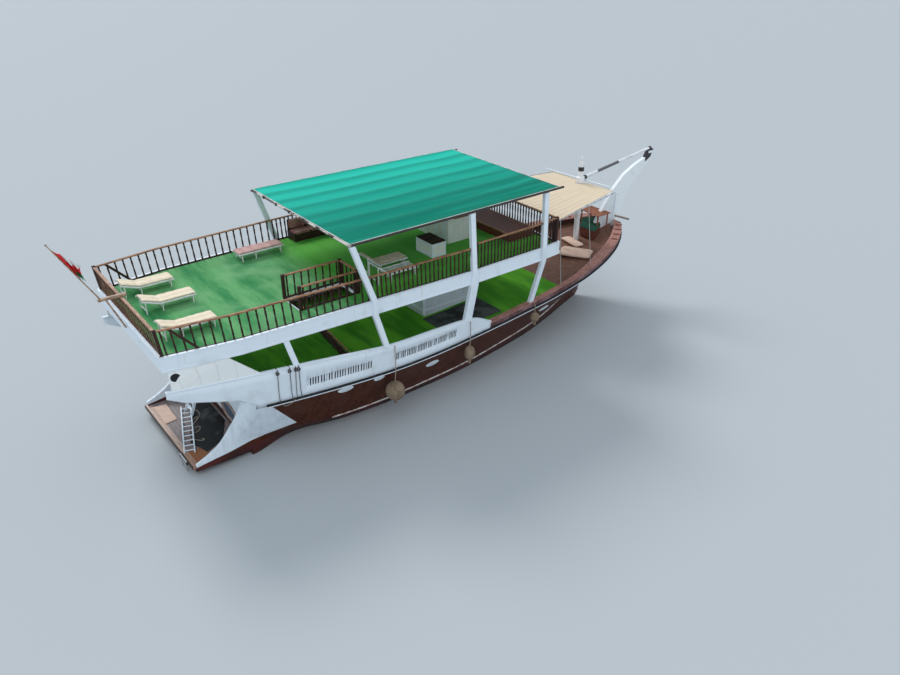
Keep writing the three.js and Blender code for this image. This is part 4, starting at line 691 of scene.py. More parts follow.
# Swim platform: grey planks between the wings with a pale timber along the after edge, a dark
# rubber mat in the middle, a loose board to port and orange bare wood in the starboard corner.
finish = Finish("platform_planks")
fibre = finish.place.noise(3.5, 6, 0.65, (9, 1, 9))
joint = finish.x.wrap(0.14).ramp(0.93, 0.985)
in_corner = finish.y.ramp(-0.6, -1.5) + (finish.x + 11.2).ramp(0.3, -0.3)
bare = (finish.place.noise(1.5, 4) + in_corner).ramp(2.3, 2.5)
grain = fibre.ramp(0.3, 0.7)
plank_colour = bare.mix(grain.mix((0.15, 0.12, 0.12), (0.34, 0.28, 0.27)), (0.30, 0.11, 0.04))
edge_colour = grain.mix((0.46, 0.32, 0.26), (0.70, 0.52, 0.43))
plank_colour = ((finish.x < -11.98) * (1 - bare * 0.5)).mix(plank_colour, edge_colour)
plank_colour = (finish.x < -12.19).mix(plank_colour, (0.06, 0.035, 0.03))
plank_paint = finish.done(joint.mix(plank_colour, (0.07, 0.045, 0.035)), fibre * 0.3 + 0.5, fibre - joint,
                          0.005)
paint_nodes(plank_paint, "swim_platform")
# Dark studded rubber for the platform's mat; it also colours the black sheet that is the cabin's painted
# shadow on the main deck.
finish = Finish("rubber_and_shadow_sheet", Specular_IOR_Level=0.1)
stud = finish.x.wrap(0.05).ramp(0.4, 0.8) * finish.y.wrap(0.05).ramp(0.4, 0.8)
wet = finish.place.noise(1.5, 4)
rubber_and_shadow_paint = finish.done(wet.ramp(0.4, 0.65).mix((0.028, 0.030, 0.030), (0.085, 0.090, 0.088)), wet * 0.3 + 0.6,
                     stud, 0.004)
mat_plan = np.array([(-11.72, -0.90), (-11.45, -1.75), (-10.75, -1.40), (-10.20, -0.30), (-10.20, 1.20),
                     (-10.83, 1.43)])
mat_middle = mat_plan.mean(axis=0)
mat_shape = turned(mat_plan - mat_middle, ((0.328, 1), (0.344, 1), (0.350, 0.985)), mat_middle)
piece("platform_mat", [mat_shape], rubber_and_shadow_paint)
pale_board = wood("pale_board", (0.50, 0.34, 0.26), (0.72, 0.50, 0.40), grain=(9, 1, 9), rough=0.55)
board_plan = np.array([(-12.00, 0.74), (-11.57, 0.80), (-11.53, 2.00), (-12.00, 2.10)])
piece("platform_board", [turned(board_plan, ((0.328, 1), (0.358, 1)))], pale_board)
paint_nodes(white_paint, "stern_ladder")
steel = weathered("steel", 12, 5, (0.5, 0.75), ((0.55, 0.57, 0.58), (0.30, 0.24, 0.20)), (0.3, 0.2), 0.001,
                  Metallic=0.85)
paint_nodes(steel, "swim_ladder")


# Main deck: green artificial turf over the planks, under the upper deck, with painted shadow
# streaks athwart it.
def turf(name, wear, shaded, sunlit, awning_light=0.0):
    """Short pile of green plastic: mottled, with long soft folds athwart the boat, and painted shadow
    streaks along them from the shaded colour to the sunlit one. By the share that the last argument
    gives it is painted brighter and yellower forward of x = -6: painted light in the awning's shade."""
    finish = Finish(name, Specular_IOR_Level=0.15)
    pile = finish.place.noise(90, 2)
    # fold: soft folds in relief, and painted shadow streaks of posts and people athwart the boat
    fold = finish.place.noise(0.55, 4, 0.6, (2.6, 0.5, 1))
    cloud = finish.place.noise(0.5, 5)
    colour = fold.ramp(0.35, 0.65).mix(shaded, sunlit)
    greyed = tuple(0.25 * grey + 0.75 * green for grey, green in zip((0.3, 0.45, 0.3), sunlit))
    colour = (cloud.ramp(0.5, 0.72) * wear).mix(colour, greyed)
    # painted light: brighter, yellower turf forward of x = -6, under the awning's shade
    colour = (finish.x.ramp(-6.8, -5.2) * awning_light).mix(colour, (0.13, 0.50, 0.04))
    colour = (pile.ramp(0.55, 0.75) * 0.4).mix(colour, tuple(0.4 * c for c in shaded))
    return finish.done(colour, pile * 0.1 + 0.85, pile + fold * 3, 0.008)


paint_nodes(turf("main_turf", 0.2, (0.05, 0.24, 0.012), (0.12, 0.42, 0.02)), "main_deck_turf")
# The upper turf gets painted light under the awning by its last argument.
paint_nodes(turf("upper_turf", 0.8, (0.035, 0.23, 0.075), (0.14, 0.39, 0.15), 0.7), "upper_deck_turf")

# Deck cabin: tongued boards in pale grey-white paint under the upper deck, with corner posts,
# a skirting, a shelf under its serving hatch, and a panelled door.
def boarding(name, pitch, clean, stained):
    """Painted upright boards: soft joints at every pitch, and stains in the paint."""
    finish = Finish(name, Specular_IOR_Level=0.25, Coat_Weight=0.05)
    joint = (finish.x + finish.y * 0.999).wrap(pitch).ramp(1 - 0.008 / pitch, 1 - 0.002 / pitch)
    stain = finish.place.noise(1.1, 5)
    colour = stain.ramp(0.45, 0.8).mix(clean, stained)
    return finish.done((joint * 0.5).mix(colour, tuple(0.3 * v for v in stained)), stain * 0.3 + 0.4,
                       stain * 0.5 - joint, 0.006)


board_paint = boarding("house_boarding", 0.24, (0.86, 0.87, 0.83), (0.70, 0.68, 0.60))
cabin_paint = boarding("cabin_boarding", 0.62, (0.66, 0.74, 0.78), (0.54, 0.57, 0.57))
screen_paint = boarding("screen_boarding", 0.50, (0.80, 0.83, 0.83), (0.70, 0.69, 0.63))
paint_nodes(board_paint, "wheelhouse", "wheelhouse_door")
paint_nodes(cabin_paint, "deck_cabin", "cabin_door")
paint_nodes(screen_paint, "aft_screen_port", "aft_screen_stbd")
cabin_low, cabin_high = 2.30, 4.82
cabin_bits = [boxes([(x, y, (cabin_low + cabin_high) / 2) for x in (-1.70, 0.90) for y in (-0.95, 0.95)],
                    (0.08, 0.08, cabin_high - cabin_low)),
              boxes([(-0.4, y, z) for y in (-0.955, 0.955) for z in (2.44, 3.05, 4.76)], (2.66, 0.03, 0.09)),
              boxes([(-1.715, -0.42, z) for z in (2.44, 3.05, 4.76)], (0.03, 1.1, 0.09)),
              boxes([(0.905, 0, z) for z in (2.46, 3.05, 4.76)], (0.03, 1.9, 0.09)),
              boxes([(-0.3, 1.05, 3.17)], (1.1, 0.2, 0.03))]
piece("cabin_trim", cabin_bits, white_paint)
door_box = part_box("cabin_door")
door_y, door_low = 0.30, door_box[0].z
cabin_panels = boxes([(-1.712, door_y, door_low + z) for z in (0.1, 0.95, 1.78)], (0.018, 0.56, 0.09))
cabin_stiles = boxes([(-1.712, door_y + s * 0.27, door_low + 0.94) for s in (-1, 1)], (0.018, 0.08, 1.76))
piece("cabin_door_panels", [cabin_panels, cabin_stiles], white_paint, body="cabin_door")

# Companion stairs: varnished treads between two strings, from the main deck to the stair well.
dark_wood = wood("dark_wood", (0.022, 0.008, 0.006), (0.065, 0.026, 0.018), grain=(2, 2, 8), rough=0.45)
paint_nodes(dark_wood, "companion_stairs")
stair_low, stair_high, stair_y = (-5.90, 2.32), (-7.80, 5.0), -2.125
stair_rise = np.arange(1, 10) / 10
nosing = np.stack([stair_low[0] + (stair_high[0] - stair_low[0]) * stair_rise + 0.14, np.full(9, stair_y),
                   stair_low[1] + (stair_high[1] - stair_low[1]) * stair_rise + 0.02], axis=1)
piece("stair_nosings", [boxes(nosing, (0.04, 0.74, 0.012))], varnished)

# Upper deck: planked panels on white beams, hidden under turf but for their edges and undersides.
# The deep fascia boards and the posts that carry the awning are white too, streaked by weather.
paint_nodes(white_paint, "upper_deck_aft", "upper_deck_fore", "upper_deck_port", "upper_deck_stbd",
            "side_frame_port", "side_frame_stbd")
upper_plan = np.array([(-12.75, 3.05), (-10.35, 3.43), (-5.85, 3.62), (-1.55, 3.74), (1.95, 3.66),
                       (3.15, 3.54)])
deck_top, turf_top, fascia_top, fascia_deep = 5.03, 5.049, 5.06, 0.50


def upper_half(x):
    """Half breadth of the upper deck."""
    return np.interp(x, upper_plan[:, 0], upper_plan[:, 1])


def screen_out(x, z):
    """Half breadth of the after screen's outer face, straight from the bulwark up to the fascia."""
    low = bulwark_top(x)
    foot_y = bulwark_out(x, low) - 0.01
    head_y = np.minimum(upper_half(x) - 0.01, foot_y + 0.13)
    return foot_y + (head_y - foot_y) * (z - low) / (fascia_top - fascia_deep - low)


# The two holes in each after screen: black ovals on the screen's face, painted shade standing for the dark
# openings.
hole_turn = (np.arange(16) + 0.5) * 2 * np.pi / 16
hole_shade_bits = []
for side in (-1, 1):
    for x, z, half_wide, half_high in ((-12.42, 4.34, 0.15, 0.13), (-11.90, 3.95, 0.10, 0.035)):
        hole_x, hole_z = x + half_wide * np.cos(hole_turn), z + half_high * np.sin(hole_turn)
        hole_y = screen_out(hole_x, hole_z)
        hole_shade_bits.append(closed(np.stack([np.stack([hole_x, side * (hole_y + out), hole_z], axis=1)
                                          for out in (-0.01, 0.006)])))
piece("screen_hole_shade", hole_shade_bits, black_paint)

edge_bits = []
for side in (-1, 1):
    line = np.column_stack([upper_plan[:, 0], side * (upper_plan[:, 1] - 0.035),
                            np.full(6, fascia_top + 0.012)])
    edge_bits.append(sweep(line, oblong(0.11, 0.025, 0.008)))
    line = np.column_stack([upper_plan[:, 0], side * (upper_plan[:, 1] + 0.008),
                            np.full(6, fascia_top - fascia_deep + 0.04)])
    edge_bits.append(sweep(line, oblong(0.022, 0.07, 0.006)))
for x, half in ((-12.72, 3.0), (3.12, 3.46)):
    edge_bits.append(sweep([(x, -half, fascia_top + 0.012), (x, half, fascia_top + 0.012)],
                           oblong(0.11, 0.025, 0.008)))
piece("fascia_mouldings", edge_bits, white_paint)
lap_x = np.arange(-12.2, 3.0, 1.9)
lap = np.stack([lap_x, -(upper_half(lap_x) + 0.003), np.full(len(lap_x), fascia_top - 0.25)], axis=1)
butts = [boxes(lap * (1, side, 1), (0.10, 0.012, 0.42)) for side in (1, -1)]
piece("fascia_butt_straps", butts, white_paint)

# Balustrades: turned balusters of dark wood between a foot rail and a broad top rail, bleached
# tan by the sun, with square newels. A lower one of the same kind guards the stair well.
tan_wood = wood("rail_top_wood", (0.19, 0.075, 0.035), (0.50, 0.28, 0.16), grain=(1, 5, 5), rough=0.5)
bleached = wood("bleached_rail_wood", (0.28, 0.14, 0.085), (0.58, 0.38, 0.28), grain=(5, 1, 5), rough=0.55)
brown_wood = wood("aft_rail_wood", (0.09, 0.04, 0.025), (0.26, 0.13, 0.08), grain=(2, 2, 8), rough=0.5)
rail_low, rail_height, rail_step = deck_top + 0.0005, 0.92, 0.13
baluster_profile = np.array([
    # share of the height, radius
    (0.0, 0.036), (0.10, 0.036), (0.13, 0.026), (0.20, 0.038), (0.40, 0.032), (0.50, 0.025), (0.60, 0.032),
    (0.78, 0.038), (0.86, 0.025), (0.90, 0.036), (1.0, 0.036)])
baluster = turned(circle(1.0, 8), baluster_profile)
newel_profile = np.array([(0.0, 0.070), (0.975, 0.070), (0.985, 0.082), (1.0, 0.082), (1.012, 0.06),
                          (1.03, 0.02)])
newel = turned(plan_square * 1.45, newel_profile)
rail_aft_x, rail_step_x, rail_fore_x = -12.63, -1.2, 3.03


def rail_line(x, side):
    """A point of the side balustrade's centreline, in plan."""
    return x, side * (float(upper_half(x)) - 0.12)


def raked(bit):
    """The bit leaned aft by 0.11 of its height over the deck at the stern, fading out forward."""
    points, quads = bit
    share = np.maximum(0, (rail_step_x - points[:, 0]) / (rail_step_x - rail_aft_x))
    lean = 0.11 * share * (points[:, 2] - rail_low)
    return points - np.stack([lean, 0 * lean, 0 * lean], axis=1), quads


aft_half, fore_half = float(upper_half(rail_aft_x)) - 0.18, float(upper_half(rail_fore_x)) - 0.18
rail_runs = []
for name, side in sides:
    rail_runs += [
        # node, plan points, foot, height, pitch of the balusters, which points have newels
        (f"railing_{name}", [rail_line(x, side) for x in (rail_aft_x, -10.35, -5.85)], rail_low, rail_height,
         0.275, [0]),
        (f"railing_{name}", [rail_line(x, side) for x in (-5.85, -1.55, rail_step_x)], rail_low, rail_height,
         0.178, [2]),
        (f"railing_{name}", [rail_line(x, side) for x in (rail_step_x, 1.95, rail_fore_x)], rail_low,
         rail_height + rail_step, 0.165, [0, 2])]
rail_runs += [
    ("railing_aft", [(rail_aft_x, -aft_half), (rail_aft_x, aft_half)], rail_low, rail_height, 0.275, []),
    ("railing_fore", [(rail_fore_x, -fore_half), (rail_fore_x, fore_half)], rail_low, rail_height + rail_step,
     0.165, []),
    ("stair_rail_port", [(-7.90, -1.54), (-5.69, -1.54)], turf_top, 0.86, 0.275, [0, 1]),
    ("stair_rail_stbd", [(-7.90, -2.71), (-5.69, -2.71)], turf_top, 0.86, 0.275, [0, 1]),
    ("stair_rail_fore", [(-5.69, -2.657), (-5.69, -1.593)], turf_top, 0.86, 0.275, [])]
turned_bits, top_bits = {}, {}
for node, stops, low, height, pitch, newels in rail_runs:
    stops = np.array(stops)
    places = []
    for a, b in zip(stops[:-1], stops[1:]):
        count = max(1, round(np.linalg.norm(b - a) / pitch))
        places.append(a + (b - a) * (np.arange(count) + 0.5)[:, None] / count)
    places = np.concatenate(places)
    feet = np.column_stack([places, np.full(len(places), low + 0.05)])
    slim = 0.7 if node == "railing_aft" else 0.9
    bits = [repeat(baluster, feet, 0, (slim, slim, height - 0.09))]
    cells = np.linspace(0, 1, 5)[:-1, None]
    line = np.concatenate([a + (b - a) * cells for a, b in zip(stops[:-1], stops[1:])] + [stops[-1:]])
    bits.append(sweep(np.column_stack([line, np.full(len(line), low + 0.03)]), oblong(0.06, 0.058, 0.01)))
    if newels:
        ends = np.column_stack([stops[newels], np.full(len(newels), low)])
        heading = np.degrees(np.arctan2(*(stops[1] - stops[0])[::-1]))
        bits.append(repeat(newel, ends, heading, (1, 1, height + 0.01)))
    top = sweep(np.column_stack([line, np.full(len(line), low + height - 0.025)]), oblong(0.10, 0.05, 0.014))
    lean = raked if node.startswith("railing") else tuple
    turned_bits.setdefault(node, []).extend(lean(bit) for bit in bits)
    top_bits.setdefault(node, []).append(lean(top))
for side, node in ((-1, "railing_stbd"), (1, "railing_port")):
    ends = [(x, rail_line(x, side)[1], z) for x, z in ((-12.25, rail_low + 0.89), (-11.56, rail_low + 0.03))]
    turned_bits[node].append(raked(sweep(ends, oblong(0.05, 0.085), up=(1, 0, 0))))
for node in turned_bits:
    turned_wood, top_wood = (brown_wood, bleached) if node == "railing_aft" else (dark_wood, tan_wood)
    piece(f"{node}_turned", turned_bits[node], turned_wood, [node])
    piece(f"{node}_top", top_bits[node], top_wood, [node])

# Wheelhouse: a small boarded house on the upper deck under the awning, with panes in its
# windows, sills under them and a panelled door.
house_low = turf_top
sill_z, head_z = house_low + 1.0, house_low + 1.68
panes, frames = [], []
for x, y, wide, face in ((0.885, -0.64, 0.54, "x"), (0.885, 0, 0.54, "x"), (0.885, 0.64, 0.54, "x"),
                         (0.25, 0.985, 0.80, "y"), (0.25, -0.985, 0.80, "y"), (-0.485, 0.475, 0.65, "x")):
    turn = 90 if face == "x" else 0
    middle_z = (sill_z + head_z) / 2
    panes.append(boxes([(x, y, middle_z)], (wide - 0.004, 0.006, head_z - sill_z - 0.004), turn))
    across = np.array([0, 1, 0]) if face == "x" else np.array([1, 0, 0])
    for s in (-1, 1):
        frames.append(boxes([np.array([x, y, middle_z]) + across * s * (wide / 2 + 0.02)], (0.05, 0.06, 0.76),
                            turn))
        frames.append(boxes([(x, y, middle_z + s * 0.36)], (wide + 0.09, 0.07, 0.045), turn))
finish = Finish("window_glass", Coat_Weight=0.6, Alpha=0.45)
film = finish.place.noise(5, 4)
window_glass = finish.done(film.mix((0.10, 0.13, 0.14), (0.17, 0.20, 0.21)), film * 0.1 + 0.05)
piece("wheelhouse_panes", panes, window_glass)
piece("wheelhouse_frames", frames, varnished)
door_panels = boxes([(-0.512, -0.52, house_low + z) for z in (0.12, 0.92, 1.70)], (0.018, 0.52, 0.09))
door_stiles = boxes([(-0.512, -0.52 + s * 0.25, house_low + 0.92) for s in (-1, 1)], (0.018, 0.08, 1.68))
piece("wheelhouse_door_panels", [door_panels, door_stiles], white_paint,
      body="wheelhouse_door")

# Steering wheel: a wooden rim on eight turned spokes with a brass hub.
helm_x, helm_z, helm_radius = 0.62, house_low + 0.90, 0.28
turn = np.linspace(0, 2 * np.pi, 49)[:-1]
rim_rings = np.stack([np.stack([np.full(48, helm_x) + ox, (helm_radius + oy) * np.cos(turn),
                                helm_z + (helm_radius + oy) * np.sin(turn)], axis=1)
                      for ox, oy in np.vstack([oblong(0.034, 0.04, 0.01), oblong(0.034, 0.04, 0.01)[:1]])])
rim_points, rim_quads = surface(rim_rings, loop=True)
spoke_bits = [(rim_points, rim_quads[:, ::-1])]
spoke_at = np.array([(0.03, 0.014), (0.10, 0.016), (0.20, 0.011), (0.26, 0.018), (0.30, 0.012), (0.34, 0.017),
                     (0.385, 0.013)])
for angle in np.arange(8) * np.pi / 4:
    path = [(helm_x, r * np.cos(angle), helm_z + r * np.sin(angle)) for r in spoke_at[:, 0]]
    spoke_bits.append(sweep(path, circle(1, 8), spoke_at[:, 1], up=(1, 0, 0)))
piece("helm_wheel_wood", spoke_bits, dark_wood, ["helm_wheel"], body="helm_wheel")
hub = sweep([(helm_x - 0.045, 0, helm_z), (helm_x - 0.03, 0, helm_z), (helm_x + 0.04, 0, helm_z),
             (helm_x + 0.05, 0, helm_z), (0.85, 0, helm_z)], circle(1, 16),
            np.array([0.03, 0.05, 0.05, 0.022, 0.022]))
piece("helm_wheel_hub", [hub], bronze, ["helm_wheel"], body="helm_wheel")


# Awning pipes: a ring of steel pipe on the posts, with six purlins across it, painted dark and
# rubbed white where hands and lashings wear them. The purlins' ends stand out past the ring.
finish = Finish("pipe_paint", Coat_Weight=0.1)
rubbed = finish.place.noise(1.1, 5)
pipe_colour = (rubbed.ramp(0.46, 0.54) * (finish.x < -6.36)).mix((0.035, 0.025, 0.025), (0.60, 0.56, 0.53))
pipe_paint = finish.done(pipe_colour, rubbed * 0.2 + 0.35, rubbed, 0.001)
awning_x, awning_half, awning_z = (-6.42, 3.08), (3.55, 3.365), 7.23


def awning_y(x, share):
    """Distance from the centreline at the share of the awning's half breadth."""
    slope = (awning_half[1] - awning_half[0]) / (awning_x[1] - awning_x[0])
    return share * (awning_half[0] + (x - awning_x[0]) * slope)


purlin_shares = np.arange(1, 7) * 2 / 7 - 1
pipe_bits = [sweep([(x, awning_y(x, s), awning_z) for x in (-6.48, 3.33)], circle(0.045, 14))
             for s in (-1, 1)]
pipe_bits += [sweep([(x, awning_y(x, s), awning_z) for s in (-1, 1)], circle(0.037, 12)) for x in awning_x]
pipe_bits += [sweep([(x, awning_y(x, s), awning_z + 0.005) for x in (-6.47, 3.10)], circle(0.028, 10))
              for s in purlin_shares]
piece("awning_ring", pipe_bits, pipe_paint, ["awning_pipes"])
tie_places = [(x, awning_y(x, s), awning_z + 0.01) for x in awning_x for s in purlin_shares]
piece("purlin_ties", [boxes(tie_places, (0.12, 0.10, 0.095))], dark_rope)

# Green awning: shade cloth stretched over the purlins and laced to the ring. It sags a little
# between the purlins and has a light hem along each edge. Its colour is painted light: darker to
# starboard and lighter to port, where the sun falls, with painted shade along each purlin and
# painted highlights along the creases.
finish = Finish("awning_cloth", Specular_IOR_Level=0.08)
across = finish.attribute("across")
bay_shade = across.wrap(1.0)
weave = finish.place.noise(140, 2)
crease_relief_and_highlight = finish.place.noise(1.4, 4, 0.6, (0.12, 3, 1))
# painted light: the cloth runs from shaded starboard to sunlit port
port_light = finish.y.ramp(-3.6, 3.4)
cloth = port_light.mix((0.0005, 0.18, 0.12), (0.02, 0.50, 0.38))
# painted shade along each purlin
cloth = (bay_shade.ramp(0.25, 0.95) * 0.45).mix(cloth, (0.0005, 0.13, 0.095))
# painted highlights along the creases, which also lie in relief
cloth = (crease_relief_and_highlight.ramp(0.5, 0.7) * 0.3).mix(cloth, (0.03, 0.46, 0.36))
awning_cloth = finish.done(cloth, weave * 0.1 + 0.8, weave + crease_relief_and_highlight * 2, 0.004)
share = np.linspace(-1, 1, 99)
cloth_x = np.linspace(-6.40, 3.11, 60)
near_end = np.clip(np.minimum(cloth_x + 6.40, 3.11 - cloth_x) / 1.2, 0.12, 1)[:, None]
sag = 0.055 * np.sin(np.pi * (share + 1) * 3.5) ** 2 * (1 - 0.25 * np.cos(cloth_x * 1.1)[:, None]) * near_end
flutter = 0.006 * np.sin(cloth_x * 3.1)[:, None] * np.cos(share * 9)
grid = np.stack([np.broadcast_to(cloth_x[:, None], (60, 99)), awning_y(cloth_x[:, None], share) * 1.006,
                 awning_z + 0.056 - sag + flutter * (sag > 0.01)], axis=-1)
awning = piece("green_awning_cloth", [surface(grid)], awning_cloth, ["green_awning"],
               sharp=80, values={"across": np.tile((share + 1) * 3.5, 60)})


def weighty(made, thickness):
    """Gives a sheet its thickness, half of it on each side."""
    modifier = made.modifiers.new("thickness", "SOLIDIFY")
    modifier.thickness = thickness
    modifier.offset = 0.0


def area_of(grid):
    """Area of a grid surface, summed over its cells."""
    one, two = grid[1:, :-1] - grid[:-1, :-1], grid[:-1, 1:] - grid[:-1, :-1]
    return float(np.linalg.norm(np.cross(one, two), axis=-1).sum())


weighty(awning, 0.003)
hem_tape = weathered("hem_tape", 3, 4, (0.4, 0.7), ((0.62, 0.62, 0.58), (0.36, 0.34, 0.31)), (0.2, 0.7),
                     0.001)
hem_bits = [sweep(grid[:, k] + (0, 0, 0.004), oblong(0.03, 0.006)) for k in (0, 98)]
hem_bits += [sweep(grid[k] + (0, 0, 0.004), oblong(0.04, 0.006)) for k in (0, 59)]
hem = piece("awning_hem", hem_bits, hem_tape)
area_of(grid)

# Mast stub: a white pole stepped on the fore deck with a broad collar, a black band over it and
# a pointed head. The spar runs from it to the stem head, white with a black middle length.
mast_x, mast_foot = 7.86, 2.93
mast_profile = np.array([
    # height, radius
    (mast_foot, 0.130), (5.70, 0.120), (5.72, 0.190), (5.96, 0.185), (5.99, 0.120), (6.24, 0.118),
    (6.25, 0.135), (6.43, 0.132), (6.44, 0.098), (6.60, 0.080), (6.80, 0.050), (6.93, 0.032), (6.96, 0.012)])
finish = Finish("mast_paint", Coat_Weight=0.15)
mast_wear = finish.place.noise(4, 5)
band = (finish.z > 6.245) * (finish.z < 6.435)
mast_colour = mast_wear.ramp(0.5, 0.75).mix((0.80, 0.82, 0.85), (0.60, 0.58, 0.54))
mast_paint = finish.done(band.mix(mast_colour, (0.015, 0.015, 0.016)), mast_wear * 0.3 + 0.3, mast_wear,
                         0.002)
mast = turned(circle(1.0, 20), mast_profile, (mast_x, 0))
piece("mast_pole", [mast], mast_paint, ["mast_stub"])
finish = Finish("spar_paint", Coat_Weight=0.15)
spar_wear = finish.place.noise(5, 5, 0.6, (0.4, 2, 2))
spar_black = (finish.x > 8.94) * (finish.x < 10.33) * 0.92
spar_colour = spar_wear.ramp(0.5, 0.75).mix((0.78, 0.80, 0.83), (0.50, 0.47, 0.44))
spar_paint = finish.done(spar_black.mix(spar_colour, (0.05, 0.045, 0.045)), spar_wear * 0.3 + 0.3, spar_wear,
                         0.002)
spar_at = np.linspace(0, 1, 12)[:, None]
spar_foot, spar_end = np.array((7.93, 0, 5.882)), np.array((12.60, 0, 6.545))
spar_path = spar_foot + spar_at * (spar_end - spar_foot)
spar = sweep(spar_path, circle(1, 14), 0.074 - 0.014 * spar_at[:, 0])
piece("spar_pole", [spar], spar_paint, ["bow_spar"])
lash_turn = np.linspace(0, 10 * np.pi, 120)
lash_bits = []
for x, radius in ((8.06, 0.086), (12.45, 0.074)):
    z = np.interp(x, (spar_foot[0], spar_end[0]), (spar_foot[2], spar_end[2]))
    coil = np.stack([x + lash_turn * 0.0045, radius * np.cos(lash_turn), z + radius * np.sin(lash_turn)],
                    axis=1)
    lash_bits.append(sweep(coil, circle(0.013, 6), up=(1, 0, 0)))
piece("spar_lashings", lash_bits, dark_rope)

# Fore awning: striped cream canvas tied on a light pipe frame between the fore rail and the mast,
# with a notch at its fore edge for the mast.
paint_nodes(steel, "fore_awning_frame")
finish = Finish("striped_canvas")
stripe = finish.attribute("across").wrap(1.0)
thread = finish.place.noise(160, 2)
faded = finish.place.noise(0.8, 5)
canvas = (stripe.ramp(0.80, 0.88) * 0.5).mix((0.70, 0.57, 0.41), (0.44, 0.32, 0.21))
canvas = (finish.attribute("across").wrap(0.5).ramp(0.9, 0.95) * 0.2).mix(canvas, (0.50, 0.40, 0.28))
canvas = (faded.ramp(0.45, 0.75) * 0.5).mix(canvas, (0.58, 0.49, 0.38))
striped_canvas = finish.done(canvas, thread * 0.1 + 0.85, thread + faded, 0.004)
fore_frame_x, fore_frame_long = 3.85, 4.16
fore_share = np.linspace(-1, 1, 67)
fore_along = np.linspace(0, 1, 40)[:, None]
fore_end = 8.03 - 0.42 * np.exp(-(fore_share * 2.0 / 0.24) ** 2)
fore_x = 3.83 + fore_along * (fore_end - 3.83)
fore_run = (fore_x - fore_frame_x) / fore_frame_long
fore_y = fore_share * (2.82 - 1.0 * fore_run)
frame_sag = 0.05 * np.sin(np.pi * 2 * np.clip(fore_run, 0, 1)) ** 2 * (1 - fore_share ** 2)
fore_z = 5.625 + 0.10 * fore_run - frame_sag + 0.012 * np.sin(fore_share * 23) * np.sin(np.pi * fore_run) ** 2
fore_grid = np.stack([fore_x, fore_y, fore_z], axis=-1)
fore_cloth = piece("fore_awning_cloth", [surface(fore_grid)], striped_canvas, ["fore_awning"],
                   sharp=80, values={"across": np.tile((fore_share + 1) * 9, 40)})
weighty(fore_cloth, 0.003)
area_of(fore_grid)
tie_bits = []
loop = np.linspace(0, 2 * np.pi, 13)
for x in np.linspace(3.95, 7.8, 9):
    run = (x - fore_frame_x) / fore_frame_long
    for side in (-1, 1):
        y, z = side * (2.80 - 0.85 * run), 5.60 + 0.10 * run
        tie = np.stack([x + 0.004 * loop, y + 0.030 * np.cos(loop), z + 0.030 * np.sin(loop)], axis=1)
        tie_bits.append(sweep(tie, circle(0.005, 6), up=(1, 0, 0)))
finish = Finish("pale_rope")
strand = (finish.x + finish.z + finish.y * 0.5).wrap(0.03)
pale_rope = finish.done(strand.mix((0.20, 0.16, 0.12), (0.46, 0.38, 0.29)), strand * 0.1 + 0.8, strand, 0.004)
piece("fore_awning_ties", tie_bits, pale_rope)
fore_pipe = sweep([(7.93, 2.36, 5.79), (8.07, 0.0, 5.80), (8.16, -1.60, 5.80)], circle(0.028, 10))
piece("fore_awning_pipe", [fore_pipe], white_paint)

# Flagstaff: a varnished beam laid on the after rail, strutted from the fascia, with a raked staff
# in its end. The flag has three plain stripes across it and a red band down its hoist, and hangs
# limp in folds from the staff.
beam_low = 5.9515
staff_foot, staff_top = np.array((-13.34, 0, 5.9965)), np.array((-14.48, 0, 8.11))
staff_run = staff_top - staff_foot
staff_bits = [sweep([(-13.43, 0, beam_low + 0.045), (-12.56, 0, beam_low + 0.045)],
                    oblong(0.12, 0.09, 0.015)),
              sweep([(-13.20, 0, beam_low + 0.02), (-12.782, 0, 4.86)], circle(0.03, 10), up=(0, 1, 0)),
              sweep([staff_foot + staff_run * t for t in np.linspace(0, 1, 8)], circle(1, 12),
                    np.linspace(0.024, 0.016, 8), up=(0, 1, 0)),
              sweep([staff_foot + staff_run * t for t in (0.985, 0.99, 1.0, 1.006)], circle(1, 12),
                    np.array([0.016, 0.03, 0.03, 0.012]), up=(0, 1, 0))]
staff_wood = wood("staff_wood", (0.26, 0.15, 0.09), (0.60, 0.43, 0.31), grain=(2, 6, 2), rough=0.45, coat=0.2)
piece("flag_beam_and_staff", staff_bits, staff_wood, ["flagstaff"])
flag_u, flag_v = np.meshgrid(np.linspace(0, 1, 61), np.linspace(0, 1, 31), indexing="ij")
hoist = staff_foot + staff_run * (0.45 + 0.45 * flag_v[..., None])
low_drop, high_drop = np.array((0.20, 0, -0.20)), np.array((0.67, 0, -0.64))
drop = low_drop + (high_drop - low_drop) * (flag_v[..., None] ** 1.3)
fold = 0.096 * np.sin(flag_u * 19 + flag_v * 3) * np.minimum(1, flag_u * 4) * (1 - 0.35 * flag_v)
flag_grid = hoist + drop * (flag_u[..., None] ** 0.9) + np.stack([0.02 + 0 * fold, fold, 0.2 * fold], axis=-1)
finish = Finish("flag_cloth")
height = finish.attribute("height")
flag_colour = (height > 0.34).mix((0.02, 0.30, 0.12), (0.72, 0.02, 0.03))
flag_colour = (height > 0.67).mix(flag_colour, (0.80, 0.80, 0.78))
flag_colour = (finish.attribute("length") < 0.27).mix(flag_colour, (0.72, 0.02, 0.03))
knit = finish.place.noise(200, 2)
flag_cloth = finish.done(flag_colour, knit * 0.1 + 0.8, knit, 0.001)
flag = piece("flag_bunting", [surface(flag_grid)], flag_cloth, ["flag"], sharp=80,
             values={"height": flag_v.reshape(-1), "length": flag_u.reshape(-1)})
weighty(flag, 0.002)
area_of(flag_grid)

